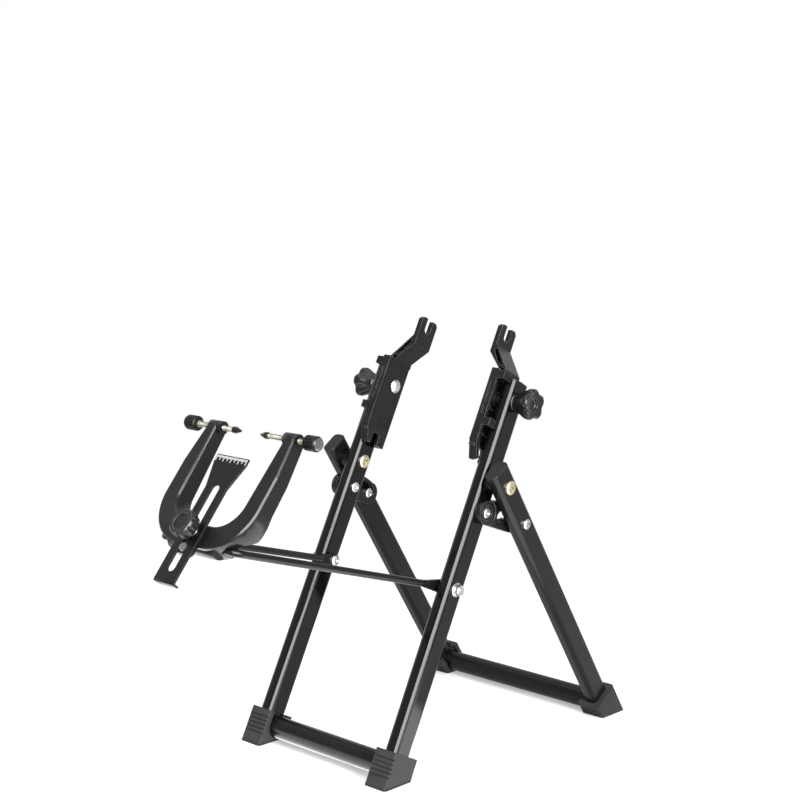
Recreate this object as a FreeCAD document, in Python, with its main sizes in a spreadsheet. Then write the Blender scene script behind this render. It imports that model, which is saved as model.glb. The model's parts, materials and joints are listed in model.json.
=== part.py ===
import FreeCAD, Part
import math
import os
import Sketcher

# Bicycle wheel truing stand, in millimetres and degrees.
#
# Two leaning uprights carry the hub holders. Two rear legs fold against them on the
# fold pivots, and a slotted link on each side holds the spread. A bent rod swings on
# the uprights and carries the cast caliper with its gauge screws and gauge plate.
#
# Row axes: +X to the right side, -Y to the caliper, +Z up. The stand rests on Z = 0.
# Local frames, each with its X along the row's X:
#   upright frame  origin on the hub axis, Z up along the uprights
#   leg frame      origin on the fold pivot, Z up along the rear legs
#   link frame     origin on the link pivot, Z from the link pivot away from the slot pin
#   arm frame      origin on the arm pivot, -Y along the caliper arm
#   gauge frame    origin on the arm's cross rod, Z up along the gauge plate, -Y outwards

SIZES = (
    # stance
    ("hub_height", 411.0, "hub axis above the bench"),
    ("lean", 25.5, "uprights from vertical, top to the back"),
    ("spread", 36.0, "rear legs from vertical"),
    ("fold_travel", 56.5, "angle that the rear legs fold through"),
    # tubes
    ("tube_width", 15.0, "tube across the stand"),
    ("tube_depth", 25.0, "tube along its side"),
    ("tube_corner", 5.0, "outer corner radius of the tube"),
    ("tube_wall", 1.6, "wall of the tube"),
    ("upright_gap", 154.0, "between the uprights' inner faces"),
    ("leg_gap", 9.0, "between an upright and the leg beside it"),
    ("bar_diameter", 22.0, "crossbars"),
    ("bar_wall", 1.5, "wall of the crossbars"),
    ("front_bar_lift", 14.0, "front crossbar's axis above the bench"),
    ("rear_bar_lift", 14.0, "rear crossbar's axis above the bench"),
    # places along the uprights, down from the hub axis
    ("upright_top", 47.5, "top end of the uprights"),
    ("clamp_drop", 66.7, "hub holders' bolts"),
    ("fold_drop", 153.0, "fold pivots"),
    ("link_drop", 182.0, "link pivots"),
    ("arm_drop", 262.0, "caliper arm's pivots"),
    # places along the legs, from the fold pivots
    ("leg_overhang", 20.0, "leg above its pivot"),
    ("slot_pin_drop", 49.5, "slot pins below the fold pivots"),
    # feet
    ("foot_width", 27.0, "boot across the stand"),
    ("foot_depth", 35.0, "boot along the tube's side"),
    ("foot_height", 29.0, "boot along the tube"),
    ("foot_sole", 4.0, "rubber under the tube's end"),
    ("foot_round", 3.0, "rounding of the boot's edges"),
    ("foot_seal", 1.0, "how far the sole runs into the boot's walls"),
    ("groove_depth", 1.2, "grip grooves"),
    ("groove_width", 1.8, "grip grooves"),
    ("groove_pitch", 4.2, "grip grooves"),
    ("groove_count", 5, "grip grooves on each side"),
    # end plugs
    ("plug_flange", 2.4, "visible rim of a plug"),
    ("plug_insert", 14.0, "plug inside the tube"),
    # pivots
    ("barrel_diameter", 9.0, "bearing barrel of the fold pivots"),
    ("pin_diameter", 8.0, "bearing barrel of link and slot pins"),
    ("screw_diameter", 5.0, "screws inside the barrels"),
    ("barrel_wall_end", 2.0, "solid end between a barrel's bore and its head"),
    ("pivot_head", 14.0, "heads of the fold pivots"),
    ("pin_head", 10.5, "heads of link and slot pins"),
    ("head_height", 3.2, "heads of fold pivots and slot pins"),
    ("low_head", 2.4, "heads that lie in a recess"),
    ("head_crown", 0.36, "crown's radius as a share of the head's diameter"),
    ("head_slope", 0.35, "slanted part as a share of the head's height"),
    ("cross_width", 1.6, "cross recess in a screw head"),
    ("cross_reach", 0.6, "cross recess as a share of the head's diameter"),
    ("cross_depth", 1.6, "cross recess in a screw head"),
    ("spacer_diameter", 18.0, "spacers between upright and leg"),
    ("running_fit", 0.06, "radial clearance of a turning fit"),
    ("loose_fit", 0.3, "clearance between faces that pass each other"),
    ("snug_fit", 0.05, "clearance of parts that stay together"),
    # links
    ("link_radius", 11.6, "rounded ends of the link"),
    ("link_bulge", 4.0, "extra width beside the curved slot"),
    ("recess_wall", 0.8, "clearance round the pivot's head in its recess"),
    ("slot_play", 0.95, "room that the slot and its recess leave round the pin"),
    ("ring_width", 2.0, "raised ring round the link pivot"),
    ("ring_step", 1.0, "height of the raised ring"),
    # hub holders
    ("holder_gap", 135.0, "between the holders' inner faces"),
    ("holder_web", 3.4, "web of the holder"),
    ("holder_wall", 3.0, "edge walls and ribs of the holder"),
    ("holder_front", 23.0, "front edge ahead of the upright's axis"),
    ("holder_back", 12.0, "rear edge behind the upright's axis"),
    ("holder_head", 40.0, "shoulder of the holder below the hub axis"),
    ("holder_foot", 134.0, "lower end of the holder below the hub axis"),
    ("holder_chamfer", 9.0, "slanted lower front corner"),
    ("holder_rib_pitch", 13.5, "between the stiffening ribs"),
    ("holder_rib_count", 4, "stiffening ribs below the clamp bolt"),
    ("rib_share", 0.7, "ribs against the edge walls, thickness and height"),
    ("boss_wall", 1.5, "boss round the clamp bolt's head"),
    ("edge_groove", 2.2, "width of the long groove in the front edge wall"),
    ("edge_groove_depth", 1.2, "long groove in the front edge wall"),
    ("notch_width", 10.3, "notch in the lower end"),
    ("notch_depth", 14.0, "notch in the lower end"),
    ("notch_offset", 4.5, "notch ahead of the upright's axis"),
    ("lug_height", 8.0, "lugs that grip the tube's front"),
    ("lug_reach", 8.0, "how far the lugs go over the tube's front"),
    ("lug_low", 96.0, "lower lug below the hub axis"),
    ("lug_high", 46.0, "upper lug below the hub axis"),
    ("dropout_gap", 100.0, "between the dropouts, a front hub's width"),
    ("dropout_thick", 5.5, "dropout wall that the hub stands between"),
    ("dropout_slot", 9.6, "dropout slot, for a 9 mm axle"),
    ("dropout_half", 13.0, "half width of the dropout cheek"),
    ("dropout_rise", 11.0, "dropout's tips above the hub axis"),
    ("dropout_drop", 17.0, "dropout's lower end below the hub axis"),
    ("window_rib", 2.4, "ribs round the pockets of the bent arm"),
    ("window_low", 0.28, "top of the lower pocket as a share of the arm's inner side"),
    ("window_high", 0.46, "foot of the upper pocket as a share of the arm's inner side"),
    ("window_slant", 0.12, "foot of the upper pocket as a share of the arm's outer side"),
    # clamp bolts and knobs of the hub holders
    ("clamp_bolt", 8.0, "carriage bolt"),
    ("clamp_head", 14.5, "carriage bolt's head"),
    ("clamp_head_height", 3.4, "carriage bolt's head"),
    ("clamp_washer", 18.0, "washer under the knob"),
    ("washer_thick", 1.5, "washer under the knob"),
    ("knob_neck", 20.0, "neck of the knob at the washer"),
    ("knob_neck_length", 9.0, "cone from the washer to the grip"),
    ("knob_diameter", 32.0, "grip"),
    ("knob_length", 10.5, "grip"),
    ("knob_crown", 2.5, "domed end of the grip"),
    ("knob_lobes", 5, "lobes of the grip"),
    ("knob_scallop", 7.0, "radius of the hollows between the lobes"),
    ("knob_core", 21.0, "what the hollows leave in the middle"),
    ("knob_collar", 2.0, "round collar at the washer"),
    ("knob_cup", 11.0, "hollow in the knob's end"),
    ("knob_cup_depth", 5.0, "hollow in the knob's end"),
    # caliper arm
    ("arm_rod", 7.0, "bent rod"),
    ("arm_length", 259.5, "arm pivot to cross rod"),
    ("arm_rise", 14.8, "arm above level"),
    ("arm_half", 48.0, "middle of the side rod at the cross rod"),
    ("arm_bend", 8.5, "bend radius at the corners"),
    ("eye_diameter", 14.0, "flattened eye at the pivot"),
    ("eye_thick", 4.0, "flattened eye at the pivot"),
    ("eye_tail", 20.0, "flattened stretch from the pivot"),
    ("eye_taper", 6.0, "taper from the flattened stretch to the round rod"),
    ("arm_bolt", 6.0, "pivot screw"),
    ("arm_bolt_head", 11.0, "pivot screw's head"),
    ("arm_washer", 14.0, "washers on the pivot screws"),
    ("friction_washer", 2.4, "plastic washer between eye and upright"),
    ("arm_nut_flats", 10.0, "nut across flats"),
    ("arm_nut_height", 5.0, "nut"),
    ("nut_washer", 1.0, "steel washer under the nut"),
    # cast caliper body
    ("gauge_tilt", 38.1, "gauge plate from vertical"),
    ("rod_to_face", 12.0, "cross rod's axis behind the body's front face"),
    ("body_bottom", 7.0, "body's flat lower edge below the cross rod"),
    ("body_flat", 16.0, "half of the flat lower edge"),
    ("outer_round", 45.0, "outer curve of the U"),
    ("body_shoulder", 72.0, "end of the straight outer side"),
    ("body_tip", 56.4, "half width at the top of the arms"),
    ("inner_bottom", 15.0, "inside of the U above the cross rod"),
    ("inner_round", 26.0, "inner curve of the U"),
    ("inner_tip", 45.0, "inner half width at the top of the arms"),
    ("base_depth", 22.0, "front to back at the base"),
    ("arm_depth", 18.0, "front to back at the arms"),
    ("tip_depth", 15.0, "front to back at the arms' tips"),
    ("thin_start", 6.0, "where the arms begin to thin, above the inside of the U"),
    ("body_chamfer", 1.6, "bevel along the front edges"),
    ("housing_half", 30.0, "half length of the round housing on the cross rod"),
    ("housing_diameter", 19.0, "round housing on the cross rod"),
    ("relief_start", 38.5, "reliefs for the side rods from the middle"),
    ("tilt_back", 25.0, "how far the caliper tips back to the wheel"),
    ("tab_half", 9.0, "half width of the guide pin's tab"),
    ("tab_drop", 16.0, "guide pin's tab below the cross rod"),
    ("tab_depth", 6.0, "guide pin's tab, front to back"),
    ("tab_round", 2.5, "corners of the guide pin's tab"),
    ("barrel_height", 113.3, "screw barrels above the cross rod"),
    ("barrel_outer", 12.4, "screw barrels"),
    ("barrel_back", 6.7, "screw barrels' axis behind the front face"),
    ("barrel_inner_end", 41.0, "screw barrel's inner end from the middle"),
    ("barrel_outer_end", 57.0, "screw barrel's outer end from the middle"),
    # gauge screws
    ("gauge_rod", 5.0, "gauge screw"),
    ("gauge_reach", 73.0, "tip to knob end"),
    ("gauge_tip_length", 10.0, "plastic tip"),
    ("gauge_tip_diameter", 6.4, "plastic tip"),
    ("gauge_tip_nose", 1.6, "blunt end of the tip"),
    ("gauge_knob", 14.2, "knurled knob"),
    ("gauge_knob_length", 14.5, "knurled knob"),
    ("gauge_knob_round", 2.0, "rounded knob end"),
    ("gauge_flutes", 16, "flutes round the knob"),
    ("gauge_flute_size", 1.6, "width of a flute"),
    ("gauge_collar", 10.0, "metal collar under the knob"),
    ("gauge_collar_length", 3.5, "metal collar under the knob"),
    ("gauge_rim", 1.0, "bevel of the knob's inner rim"),
    ("right_tip", 8.0, "right tip from the middle"),
    ("left_tip", 17.0, "left tip from the middle"),
    # gauge plate
    ("plate_thick", 2.0, "sheet"),
    ("plate_width", 26.8, "strip"),
    ("plate_bottom", 46.5, "lower end below the cross rod"),
    ("plate_top", 83.0, "upper end above the cross rod"),
    ("plate_flare", 41.0, "width of the scale end"),
    ("plate_flare_height", 7.0, "straight sides of the scale end"),
    ("plate_taper", 26.0, "taper below the scale end"),
    ("plate_lip", 5.0, "bent lip at the lower end"),
    ("plate_bend", 1.6, "outside of the lip's bend"),
    ("plate_slot", 8.8, "slot width"),
    ("slot_bottom", 35.0, "slot's lower end below the cross rod"),
    ("slot_top", 53.0, "slot's upper end above the cross rod"),
    ("guide_pin", 8.2, "guide pin in the slot"),
    ("guide_pin_drop", 10.5, "guide pin below the cross rod"),
    ("guide_pin_proud", 0.4, "guide pin in front of the plate"),
    # plate's clamp knob
    ("stud_diameter", 5.0, "stud of the plate knob"),
    ("stud_height", 6.0, "stud above the cross rod"),
    ("stud_clear", 1.5, "between the stud's hole and the front of the cross rod"),
    ("plate_washer", 14.0, "washer on the plate"),
    ("plate_washer_thick", 1.2, "washer on the plate"),
    ("star_neck", 14.0, "neck of the plate knob"),
    ("star_neck_length", 3.6, "neck of the plate knob"),
    ("star_diameter", 26.0, "grip of the plate knob"),
    ("star_length", 12.0, "grip of the plate knob"),
    ("star_lobes", 10, "lobes of the plate knob"),
    ("star_scallop", 2.6, "radius of the hollows between the lobes"),
    ("star_waist", 23.6, "across the grip between opposite hollows"),
    ("star_round", 1.6, "bevels of the grip's edges"),
    ("star_dish", 17.0, "dish in the plate knob's end"),
    ("star_dish_depth", 1.5, "dish in the plate knob's end"),
    # making
    ("overcut", 1.0, "how far a cut starts outside the metal"),
)

# Two heights closer than this are the same.
SAME = 1e-4

document = FreeCAD.newDocument("truing_stand")
sheet = document.addObject("Spreadsheet::Sheet", "Sizes")
Vector = FreeCAD.Vector


class Size:
    """A number together with the expression over the sheet that gives it."""

    def __init__(self, value, formula):
        self.value = float(value)
        self.formula = formula

    def __add__(self, other):
        other = as_size(other)
        return Size(self.value + other.value, f"({self.formula} + {other.formula})")

    def __sub__(self, other):
        other = as_size(other)
        return Size(self.value - other.value, f"({self.formula} - {other.formula})")

    def __mul__(self, other):
        other = as_size(other)
        return Size(self.value * other.value, f"({self.formula} * {other.formula})")

    def __truediv__(self, other):
        other = as_size(other)
        return Size(self.value / other.value, f"({self.formula} / {other.formula})")

    def __neg__(self):
        return Size(-self.value, f"(0 - {self.formula})")

    def __radd__(self, other):
        return as_size(other) + self

    def __rsub__(self, other):
        return as_size(other) - self

    def __rmul__(self, other):
        return as_size(other) * self


def as_size(number):
    return number if isinstance(number, Size) else Size(number, repr(float(number)))


def sine(angle):
    return Size(math.sin(math.radians(angle.value)), f"sin({angle.formula} * 1deg)")


def cosine(angle):
    return Size(math.cos(math.radians(angle.value)), f"cos({angle.formula} * 1deg)")


def tangent(angle):
    return Size(math.tan(math.radians(angle.value)), f"tan({angle.formula} * 1deg)")


def root(size):
    return Size(math.sqrt(size.value), f"sqrt({size.formula})")


def angle_of(rise, run):
    degrees = math.degrees(math.atan2(rise.value, run.value))
    return Size(degrees, f"(atan2({rise.formula}; {run.formula}) / 1deg)")


class Cells:
    """Names of the sheet's cells, each as a Size."""


cells = Cells()
cell_count = 0


def write_cell(alias, content, value, note):
    global cell_count
    cell_count += 1
    sheet.set(f"A{cell_count}", alias)
    sheet.set(f"B{cell_count}", content)
    sheet.set(f"C{cell_count}", note)
    sheet.setAlias(f"B{cell_count}", alias)
    size = Size(value, f"Sizes.{alias}")
    setattr(cells, alias, size)
    return size


def derived(alias, size, note):
    """A cell that the sheet works out from the driving sizes."""
    return write_cell(alias, "=" + size.formula.replace("Sizes.", ""), size.value, note)


for alias, value, note in SIZES:
    write_cell(alias, str(value), value, note)
s = cells

# Where the stand's middle lies, so that the row's origin is under its centre.
write_cell("hub_back", "0", 0.0, "hub axis behind the row's origin, set from the finished outline")

# ---------------------------------------------------------------- worked-out places

inner_face = derived("inner_face", s.upright_gap / 2, "upright's inner face")
outer_face = derived("outer_face", inner_face + s.tube_width, "upright's outer face")
leg_inner = derived("leg_inner", outer_face + s.leg_gap, "leg's inner face")
leg_outer = derived("leg_outer", leg_inner + s.tube_width, "leg's outer face")
web_face = derived("web_face", s.holder_gap / 2, "hub holder's inner face")

fold_y = derived("fold_y", s.hub_back - s.fold_drop * sine(s.lean), "fold pivot")
fold_z = derived("fold_z", s.hub_height - s.fold_drop * cosine(s.lean), "fold pivot")
link_y = derived("link_y", s.hub_back - s.link_drop * sine(s.lean), "link pivot")
link_z = derived("link_z", s.hub_height - s.link_drop * cosine(s.lean), "link pivot")
arm_y = derived("arm_y", s.hub_back - s.arm_drop * sine(s.lean), "arm pivot")
arm_z = derived("arm_z", s.hub_height - s.arm_drop * cosine(s.lean), "arm pivot")
rod_y = derived("rod_y", arm_y - s.arm_length * cosine(s.arm_rise), "cross rod")
rod_z = derived("rod_z", arm_z + s.arm_length * sine(s.arm_rise), "cross rod")

upright_floor = derived("upright_floor", s.hub_height / cosine(s.lean), "hub axis to bench along an upright")
leg_floor = derived("leg_floor", fold_z / cosine(s.spread), "fold pivot to bench along a leg")
front_bar_drop = derived(
    "front_bar_drop", (s.hub_height - s.front_bar_lift) / cosine(s.lean), "front crossbar from the hub axis"
)
rear_bar_drop = derived(
    "rear_bar_drop", (fold_z - s.rear_bar_lift) / cosine(s.spread), "rear crossbar from the fold pivot"
)

# The slot pin's way in the link while the leg folds. The link turns at a constant
# ratio to the leg, chosen so that the pin is on the link's middle line at both ends.
pivot_gap = derived("pivot_gap", s.link_drop - s.fold_drop, "fold pivot to link pivot")
open_angle = derived("open_angle", s.lean + s.spread, "upright to leg when open")
shut_angle = derived("shut_angle", open_angle - s.fold_travel, "upright to leg when folded")


def pin_reach(angle):
    """Link pivot to slot pin when the leg stands at this angle to the upright."""
    square = pivot_gap * pivot_gap + s.slot_pin_drop * s.slot_pin_drop
    return root(square - 2 * pivot_gap * s.slot_pin_drop * cosine(angle))


def pin_bearing(angle):
    """Direction of the slot pin from the link pivot, off the upright's downward line."""
    return angle_of(s.slot_pin_drop * sine(angle), s.slot_pin_drop * cosine(angle) - pivot_gap)


reach_open = derived("reach_open", pin_reach(open_angle), "slot's outer end from the link pivot")
reach_shut = derived("reach_shut", pin_reach(shut_angle), "slot's inner end from the link pivot")
bearing_open = derived("bearing_open", pin_bearing(open_angle), "link's direction when open")
bearing_shut = derived("bearing_shut", pin_bearing(shut_angle), "link's direction when folded")
link_ratio = derived("link_ratio", (bearing_open - bearing_shut) / s.fold_travel, "link turns per leg turn")
half_angle = derived("half_angle", (open_angle + shut_angle) / 2, "leg halfway through its fold")
reach_half = derived("reach_half", pin_reach(half_angle), "slot pin halfway")
bearing_half = derived("bearing_half", pin_bearing(half_angle), "slot pin halfway")
stray = derived("stray", bearing_half - (bearing_open + bearing_shut) / 2, "slot pin off the middle line halfway")
half_side = derived("half_side", reach_half * sine(stray), "slot's side step at its middle")
half_along = derived("half_along", reach_half * cosine(stray), "slot's middle along the link")
link_tilt = derived("link_tilt", bearing_open - s.lean, "link's axis from vertical")


# ---------------------------------------------------------------- modelling helpers

def bind(thing, prop, size):
    """Sets a property by an expression over the sheet."""
    size = as_size(size)
    thing.setExpression(prop, size.formula)


def origin_plane(body, role):
    return next(plane for plane in body.Origin.OriginFeatures if plane.Role == role)


def new_body(label):
    body = document.addObject("PartDesign::Body", label)
    body.Label = label
    return body


class Circle:
    def __init__(self, across, along, radius):
        self.across = as_size(across)
        self.along = as_size(along)
        self.radius = as_size(radius)


class Dimensions:
    """Constraints of one sketch, put in together with the expressions that drive them."""

    def __init__(self, sketch):
        self.sketch = sketch
        self.constraints = []
        self.driven = []

    def add(self, size, *definition):
        """A constraint whose last value, if any, is a size."""
        if size is not None:
            if "Sizes" in size.formula:
                self.driven.append((len(self.constraints), size.formula))
            definition = (*definition, size.value)
        self.constraints.append(Sketcher.Constraint(*definition))

    def put_in(self):
        self.sketch.addConstraint(self.constraints)
        for index, formula in self.driven:
            self.sketch.setExpression(f"Constraints[{index}]", formula)


def draw_circle(sketch, dimensions, circle):
    middle = Vector(circle.across.value, circle.along.value, 0)
    index = sketch.addGeometry(Part.Circle(middle, Vector(0, 0, 1), circle.radius.value), False)
    dimensions.add(circle.across, "DistanceX", -1, 1, index, 3)
    dimensions.add(circle.along, "DistanceY", -1, 1, index, 3)
    dimensions.add(circle.radius, "Radius", index)


LEFT_HALF_TURN = "half circle that turns left"
RIGHT_HALF_TURN = "half circle that turns right"


def arc_through(start, end, radius):
    """Arc from start to end; a positive radius turns left and a negative one right."""
    chord = end - start
    rise = math.sqrt(max(radius * radius - chord.Length ** 2 / 4, 0.0))
    left = Vector(-chord.y, chord.x, 0).normalize()
    middle = (start + end) * 0.5 + left * math.copysign(rise, radius)
    first = math.atan2(start.y - middle.y, start.x - middle.x)
    last = math.atan2(end.y - middle.y, end.x - middle.x)
    circle = Part.Circle(middle, Vector(0, 0, 1), abs(radius))
    if radius > 0:
        return Part.ArcOfCircle(circle, first, last)
    return Part.ArcOfCircle(circle, last, first)


class Corner:
    """One point of an outline and the line or arc that leads on from it."""

    def __init__(self, across, along, way=None):
        self.across = as_size(across)
        self.along = as_size(along)
        self.half_turn = way in (LEFT_HALF_TURN, RIGHT_HALF_TURN)
        self.radius = None if way is None or self.half_turn else as_size(way)
        self.turns_right = way == RIGHT_HALF_TURN if self.half_turn else (
            self.radius is not None and self.radius.value < 0
        )
        self.spot = Vector(self.across.value, self.along.value, 0)

    def edge_to(self, other):
        if self.half_turn:
            half = (other.spot - self.spot).Length / 2
            return arc_through(self.spot, other.spot, -half if self.turns_right else half)
        if self.radius is not None:
            return arc_through(self.spot, other.spot, self.radius.value)
        return Part.LineSegment(self.spot, other.spot)


def draw_outline(sketch, dimensions, points):
    """Closed outline. Each point is (x, y) or (x, y, radius or half turn to the next point)."""
    corners = [Corner(*point) for point in points]
    first = sketch.GeometryCount
    edges = [corner.edge_to(corners[(index + 1) % len(corners)]) for index, corner in enumerate(corners)]
    sketch.addGeometry(edges, False)
    starts = [2 if corner.turns_right else 1 for corner in corners]
    for index, corner in enumerate(corners):
        here, after = first + index, (index + 1) % len(corners)
        dimensions.add(None, "Coincident", here, 3 - starts[index], first + after, starts[after])
        dimensions.add(corner.across, "DistanceX", -1, 1, here, starts[index])
        dimensions.add(corner.along, "DistanceY", -1, 1, here, starts[index])
        if corner.half_turn:
            hold_half_turn(dimensions, here, corner, corners[after])
        elif corner.radius is not None:
            radius = -corner.radius if corner.turns_right else corner.radius
            dimensions.add(radius, "Radius", here)


def hold_half_turn(dimensions, index, corner, other):
    """Keeps a half circle's centre on its chord."""
    chord = other.spot - corner.spot
    if abs(chord.x) > abs(chord.y):
        dimensions.add((corner.along + other.along) / 2, "DistanceY", -1, 1, index, 3)
    else:
        dimensions.add((corner.across + other.across) / 2, "DistanceX", -1, 1, index, 3)


def add_sketch(body, role, loops, at=None):
    """Sketch on one of the body's own planes, moved along the plane's normal by at."""
    sketch = body.newObject("Sketcher::SketchObject", "Sketch")
    sketch.AttachmentSupport = (origin_plane(body, role), [""])
    sketch.MapMode = "FlatFace"
    if at is not None:
        bind(sketch, "AttachmentOffset.Base.z", at)
    dimensions = Dimensions(sketch)
    for loop in loops:
        if isinstance(loop, Circle):
            draw_circle(sketch, dimensions, loop)
        else:
            draw_outline(sketch, dimensions, loop)
    dimensions.put_in()
    return sketch


def extrude(kind, body, role, loops, at, length, back):
    feature = body.newObject(kind, "Extrusion")
    feature.Profile = add_sketch(body, role, loops, at)
    feature.Reversed = back
    if length is None:
        feature.Type = "ThroughAll"
    else:
        bind(feature, "Length", length)
    body.recompute(True)
    return feature


def pad(body, role, loops, length, at=None, back=False):
    return extrude("PartDesign::Pad", body, role, loops, at, length, back)


def pocket(body, role, loops, length=None, at=None, back=False):
    """Cuts against the plane's normal, or along it with back."""
    before = body.Shape.Volume
    feature = extrude("PartDesign::Pocket", body, role, loops, at, length, back)
    if feature.Shape.Volume > before - 1e-3:
        raise RuntimeError(f"a pocket in {body.Label} cuts nothing")
    return feature


def turn(body, role, outline, axis, groove=False):
    """Revolves an outline round the sketch's own axis."""
    feature = body.newObject("PartDesign::Groove" if groove else "PartDesign::Revolution", "Turning")
    sketch = add_sketch(body, role, [outline])
    feature.Profile = sketch
    feature.ReferenceAxis = (sketch, [axis])
    feature.Angle = 360
    body.recompute(True)
    return feature


def repeat_round(body, feature, role, count):
    pattern = body.newObject("PartDesign::PolarPattern", "Ring")
    pattern.Originals = [feature]
    pattern.Axis = (next(axis for axis in body.Origin.OriginFeatures if axis.Role == role), [""])
    pattern.Angle = 360
    bind(pattern, "Occurrences", count)
    body.Tip = pattern
    body.recompute(True)
    return pattern


def repeat_along(body, feature, role, pitch, count, back=False):
    pattern = body.newObject("PartDesign::LinearPattern", "Row")
    pattern.Originals = [feature]
    pattern.Direction = (next(axis for axis in body.Origin.OriginFeatures if axis.Role == role), [""])
    pattern.Reversed = back
    bind(pattern, "Length", pitch * (count - 1))
    bind(pattern, "Occurrences", count)
    body.Tip = pattern
    body.recompute(True)
    return pattern


def dress(kind, body, size, chosen):
    """Fillet or chamfer on the edges of the body that the chosen test picks."""
    base = body.Tip
    names = [f"Edge{index + 1}" for index, edge in enumerate(base.Shape.Edges) if chosen(edge)]
    if not names:
        raise RuntimeError(f"no edge found to dress in {body.Label}")
    feature = body.newObject(kind, "Dressing")
    feature.Base = (base, names)
    bind(feature, "Radius" if kind.endswith("Fillet") else "Size", size)
    body.recompute(True)
    return feature


def place(thing, across, depth, height, axis=(1, 0, 0), angle=None):
    """Placement by expressions, with the turn about an axis through its own origin."""
    if angle is not None:
        thing.Placement = FreeCAD.Placement(Vector(0, 0, 0), FreeCAD.Rotation(Vector(*axis), 10))
        bind(thing, "Placement.Rotation.Angle", angle)
    for letter, size in zip("xyz", (across, depth, height)):
        bind(thing, f"Placement.Base.{letter}", size)
    thing.recompute()


def in_upright_frame(body):
    place(body, 0, s.hub_back, s.hub_height, (-1, 0, 0), s.lean)


def in_leg_frame(body):
    place(body, 0, fold_y, fold_z, (1, 0, 0), s.spread)


def in_link_frame(body):
    place(body, 0, link_y, link_z, (1, 0, 0), link_tilt)


def in_arm_frame(body):
    place(body, 0, arm_y, arm_z, (-1, 0, 0), s.arm_rise)


def in_gauge_frame(body):
    place(body, 0, rod_y, rod_z, (-1, 0, 0), s.gauge_tilt)


finished = []


def keep(piece, label=None):
    """Marks an object as a sub-part under its own label."""
    if label is not None:
        piece.Label = label
    finished.append(piece)
    return piece


def mirrored(body, label):
    copy = document.addObject("Part::Mirroring", label)
    copy.Source = body
    copy.Normal = Vector(1, 0, 0)
    copy.Base = Vector(0, 0, 0)
    copy.Label = label
    copy.recompute()
    return copy


def keep_both_sides(body, label):
    """The right piece and its mirror image as two sub-parts."""
    keep(body, f"right_{label}")
    keep(mirrored(body, f"left_{label}"))


def keep_pair(body, label):
    """The right piece and its mirror image as one group of two solids."""
    body.Label = f"one_of_{label}"
    group = document.addObject("Part::Compound", label)
    group.Links = [body, mirrored(body, f"other_of_{label}")]
    group.recompute()
    keep(group, label)


# ---------------------------------------------------------------- common outlines

def rounded_box(middle_x, middle_y, width, height, corner):
    """Rectangle with round corners, anticlockwise."""
    left, right = middle_x - width / 2, middle_x + width / 2
    low, high = middle_y - height / 2, middle_y + height / 2
    return [
        (left + corner, low),
        (right - corner, low, corner),
        (right, low + corner),
        (right, high - corner, corner),
        (right - corner, high),
        (left + corner, high, corner),
        (left, high - corner),
        (left, low + corner, corner),
    ]


def tube_section(middle, inset):
    """Outline of the tube, drawn in from its outer face by inset."""
    return rounded_box(
        middle, as_size(0), s.tube_width - 2 * inset, s.tube_depth - 2 * inset, s.tube_corner - inset
    )


def slot_outline(middle_x, low, high, width):
    """Upright slot with round ends, given by the middles of its ends."""
    half = width / 2
    return [
        (middle_x + half, low),
        (middle_x + half, high, LEFT_HALF_TURN),
        (middle_x - half, high),
        (middle_x - half, low, LEFT_HALF_TURN),
    ]


def box_outline(left, low, right, high):
    return [(left, low), (right, low), (right, high), (left, high)]


def hexagon(across_flats):
    """Hexagon round the origin with two flats upright."""
    half = across_flats / 2
    side = across_flats / (2 * math.sqrt(3))
    return [
        (half, -side),
        (half, side),
        (0, 2 * side),
        (-half, side),
        (-half, -side),
        (0, -2 * side),
    ]


# ---------------------------------------------------------------- tubes and crossbars

sole_depth = derived("sole_depth", s.foot_sole / cosine(s.spread), "sole measured along the steeper tube")


def make_tube(label, middle, top, floor, slope, holes):
    """Square tube cut off square on top and level over the boot's sole."""
    body = new_body(label)
    wall_ring = [tube_section(middle, as_size(0)), tube_section(middle, s.tube_wall)]
    far_end = floor + s.tube_depth
    pad(body, "XY_Plane", wall_ring, far_end + top, at=top, back=True)
    # The cut that follows the bench, one sole's thickness above it.
    sole_line = -floor + sole_depth
    deep, wide = floor + 3 * s.tube_depth, s.tube_depth
    below = [
        (-wide, -deep),
        (wide, -deep),
        (wide, sole_line + slope * wide),
        (-wide, sole_line - slope * wide),
    ]
    pocket(body, "YZ_Plane", [below], back=True)
    pocket(body, "YZ_Plane", [Circle(0, -drop, radius) for drop, radius in holes], back=True)
    return body


upright_middle = inner_face + s.tube_width / 2
leg_middle = leg_inner + s.tube_width / 2
lean_slope = tangent(s.lean)
leg_slope = -tangent(s.spread)
barrel_hole = s.barrel_diameter / 2 + s.snug_fit
pin_hole = s.pin_diameter / 2 + s.snug_fit
clamp_hole = s.clamp_bolt / 2 + s.snug_fit
arm_hole = s.arm_bolt / 2 + s.snug_fit

upright = make_tube(
    "right_upright",
    upright_middle,
    -s.upright_top,
    upright_floor,
    lean_slope,
    [(s.clamp_drop, clamp_hole), (s.fold_drop, barrel_hole), (s.link_drop, pin_hole), (s.arm_drop, arm_hole)],
)
in_upright_frame(upright)
keep_both_sides(upright, "upright")

leg = make_tube(
    "right_rear_leg",
    leg_middle,
    s.leg_overhang,
    leg_floor,
    leg_slope,
    [(as_size(0), s.barrel_diameter / 2 + s.running_fit), (s.slot_pin_drop, pin_hole)],
)
in_leg_frame(leg)
keep_both_sides(leg, "rear_leg")


def make_bar(label, half_length, drop):
    """Round tube across the stand, cut square against the tubes' inner faces."""
    body = new_body(label)
    rings = [Circle(0, -drop, s.bar_diameter / 2), Circle(0, -drop, s.bar_diameter / 2 - s.bar_wall)]
    pad(body, "YZ_Plane", rings, half_length * 2, at=-half_length)
    return body


front_bar = make_bar("front_crossbar", inner_face, front_bar_drop)
in_upright_frame(front_bar)
keep(front_bar)

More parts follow.
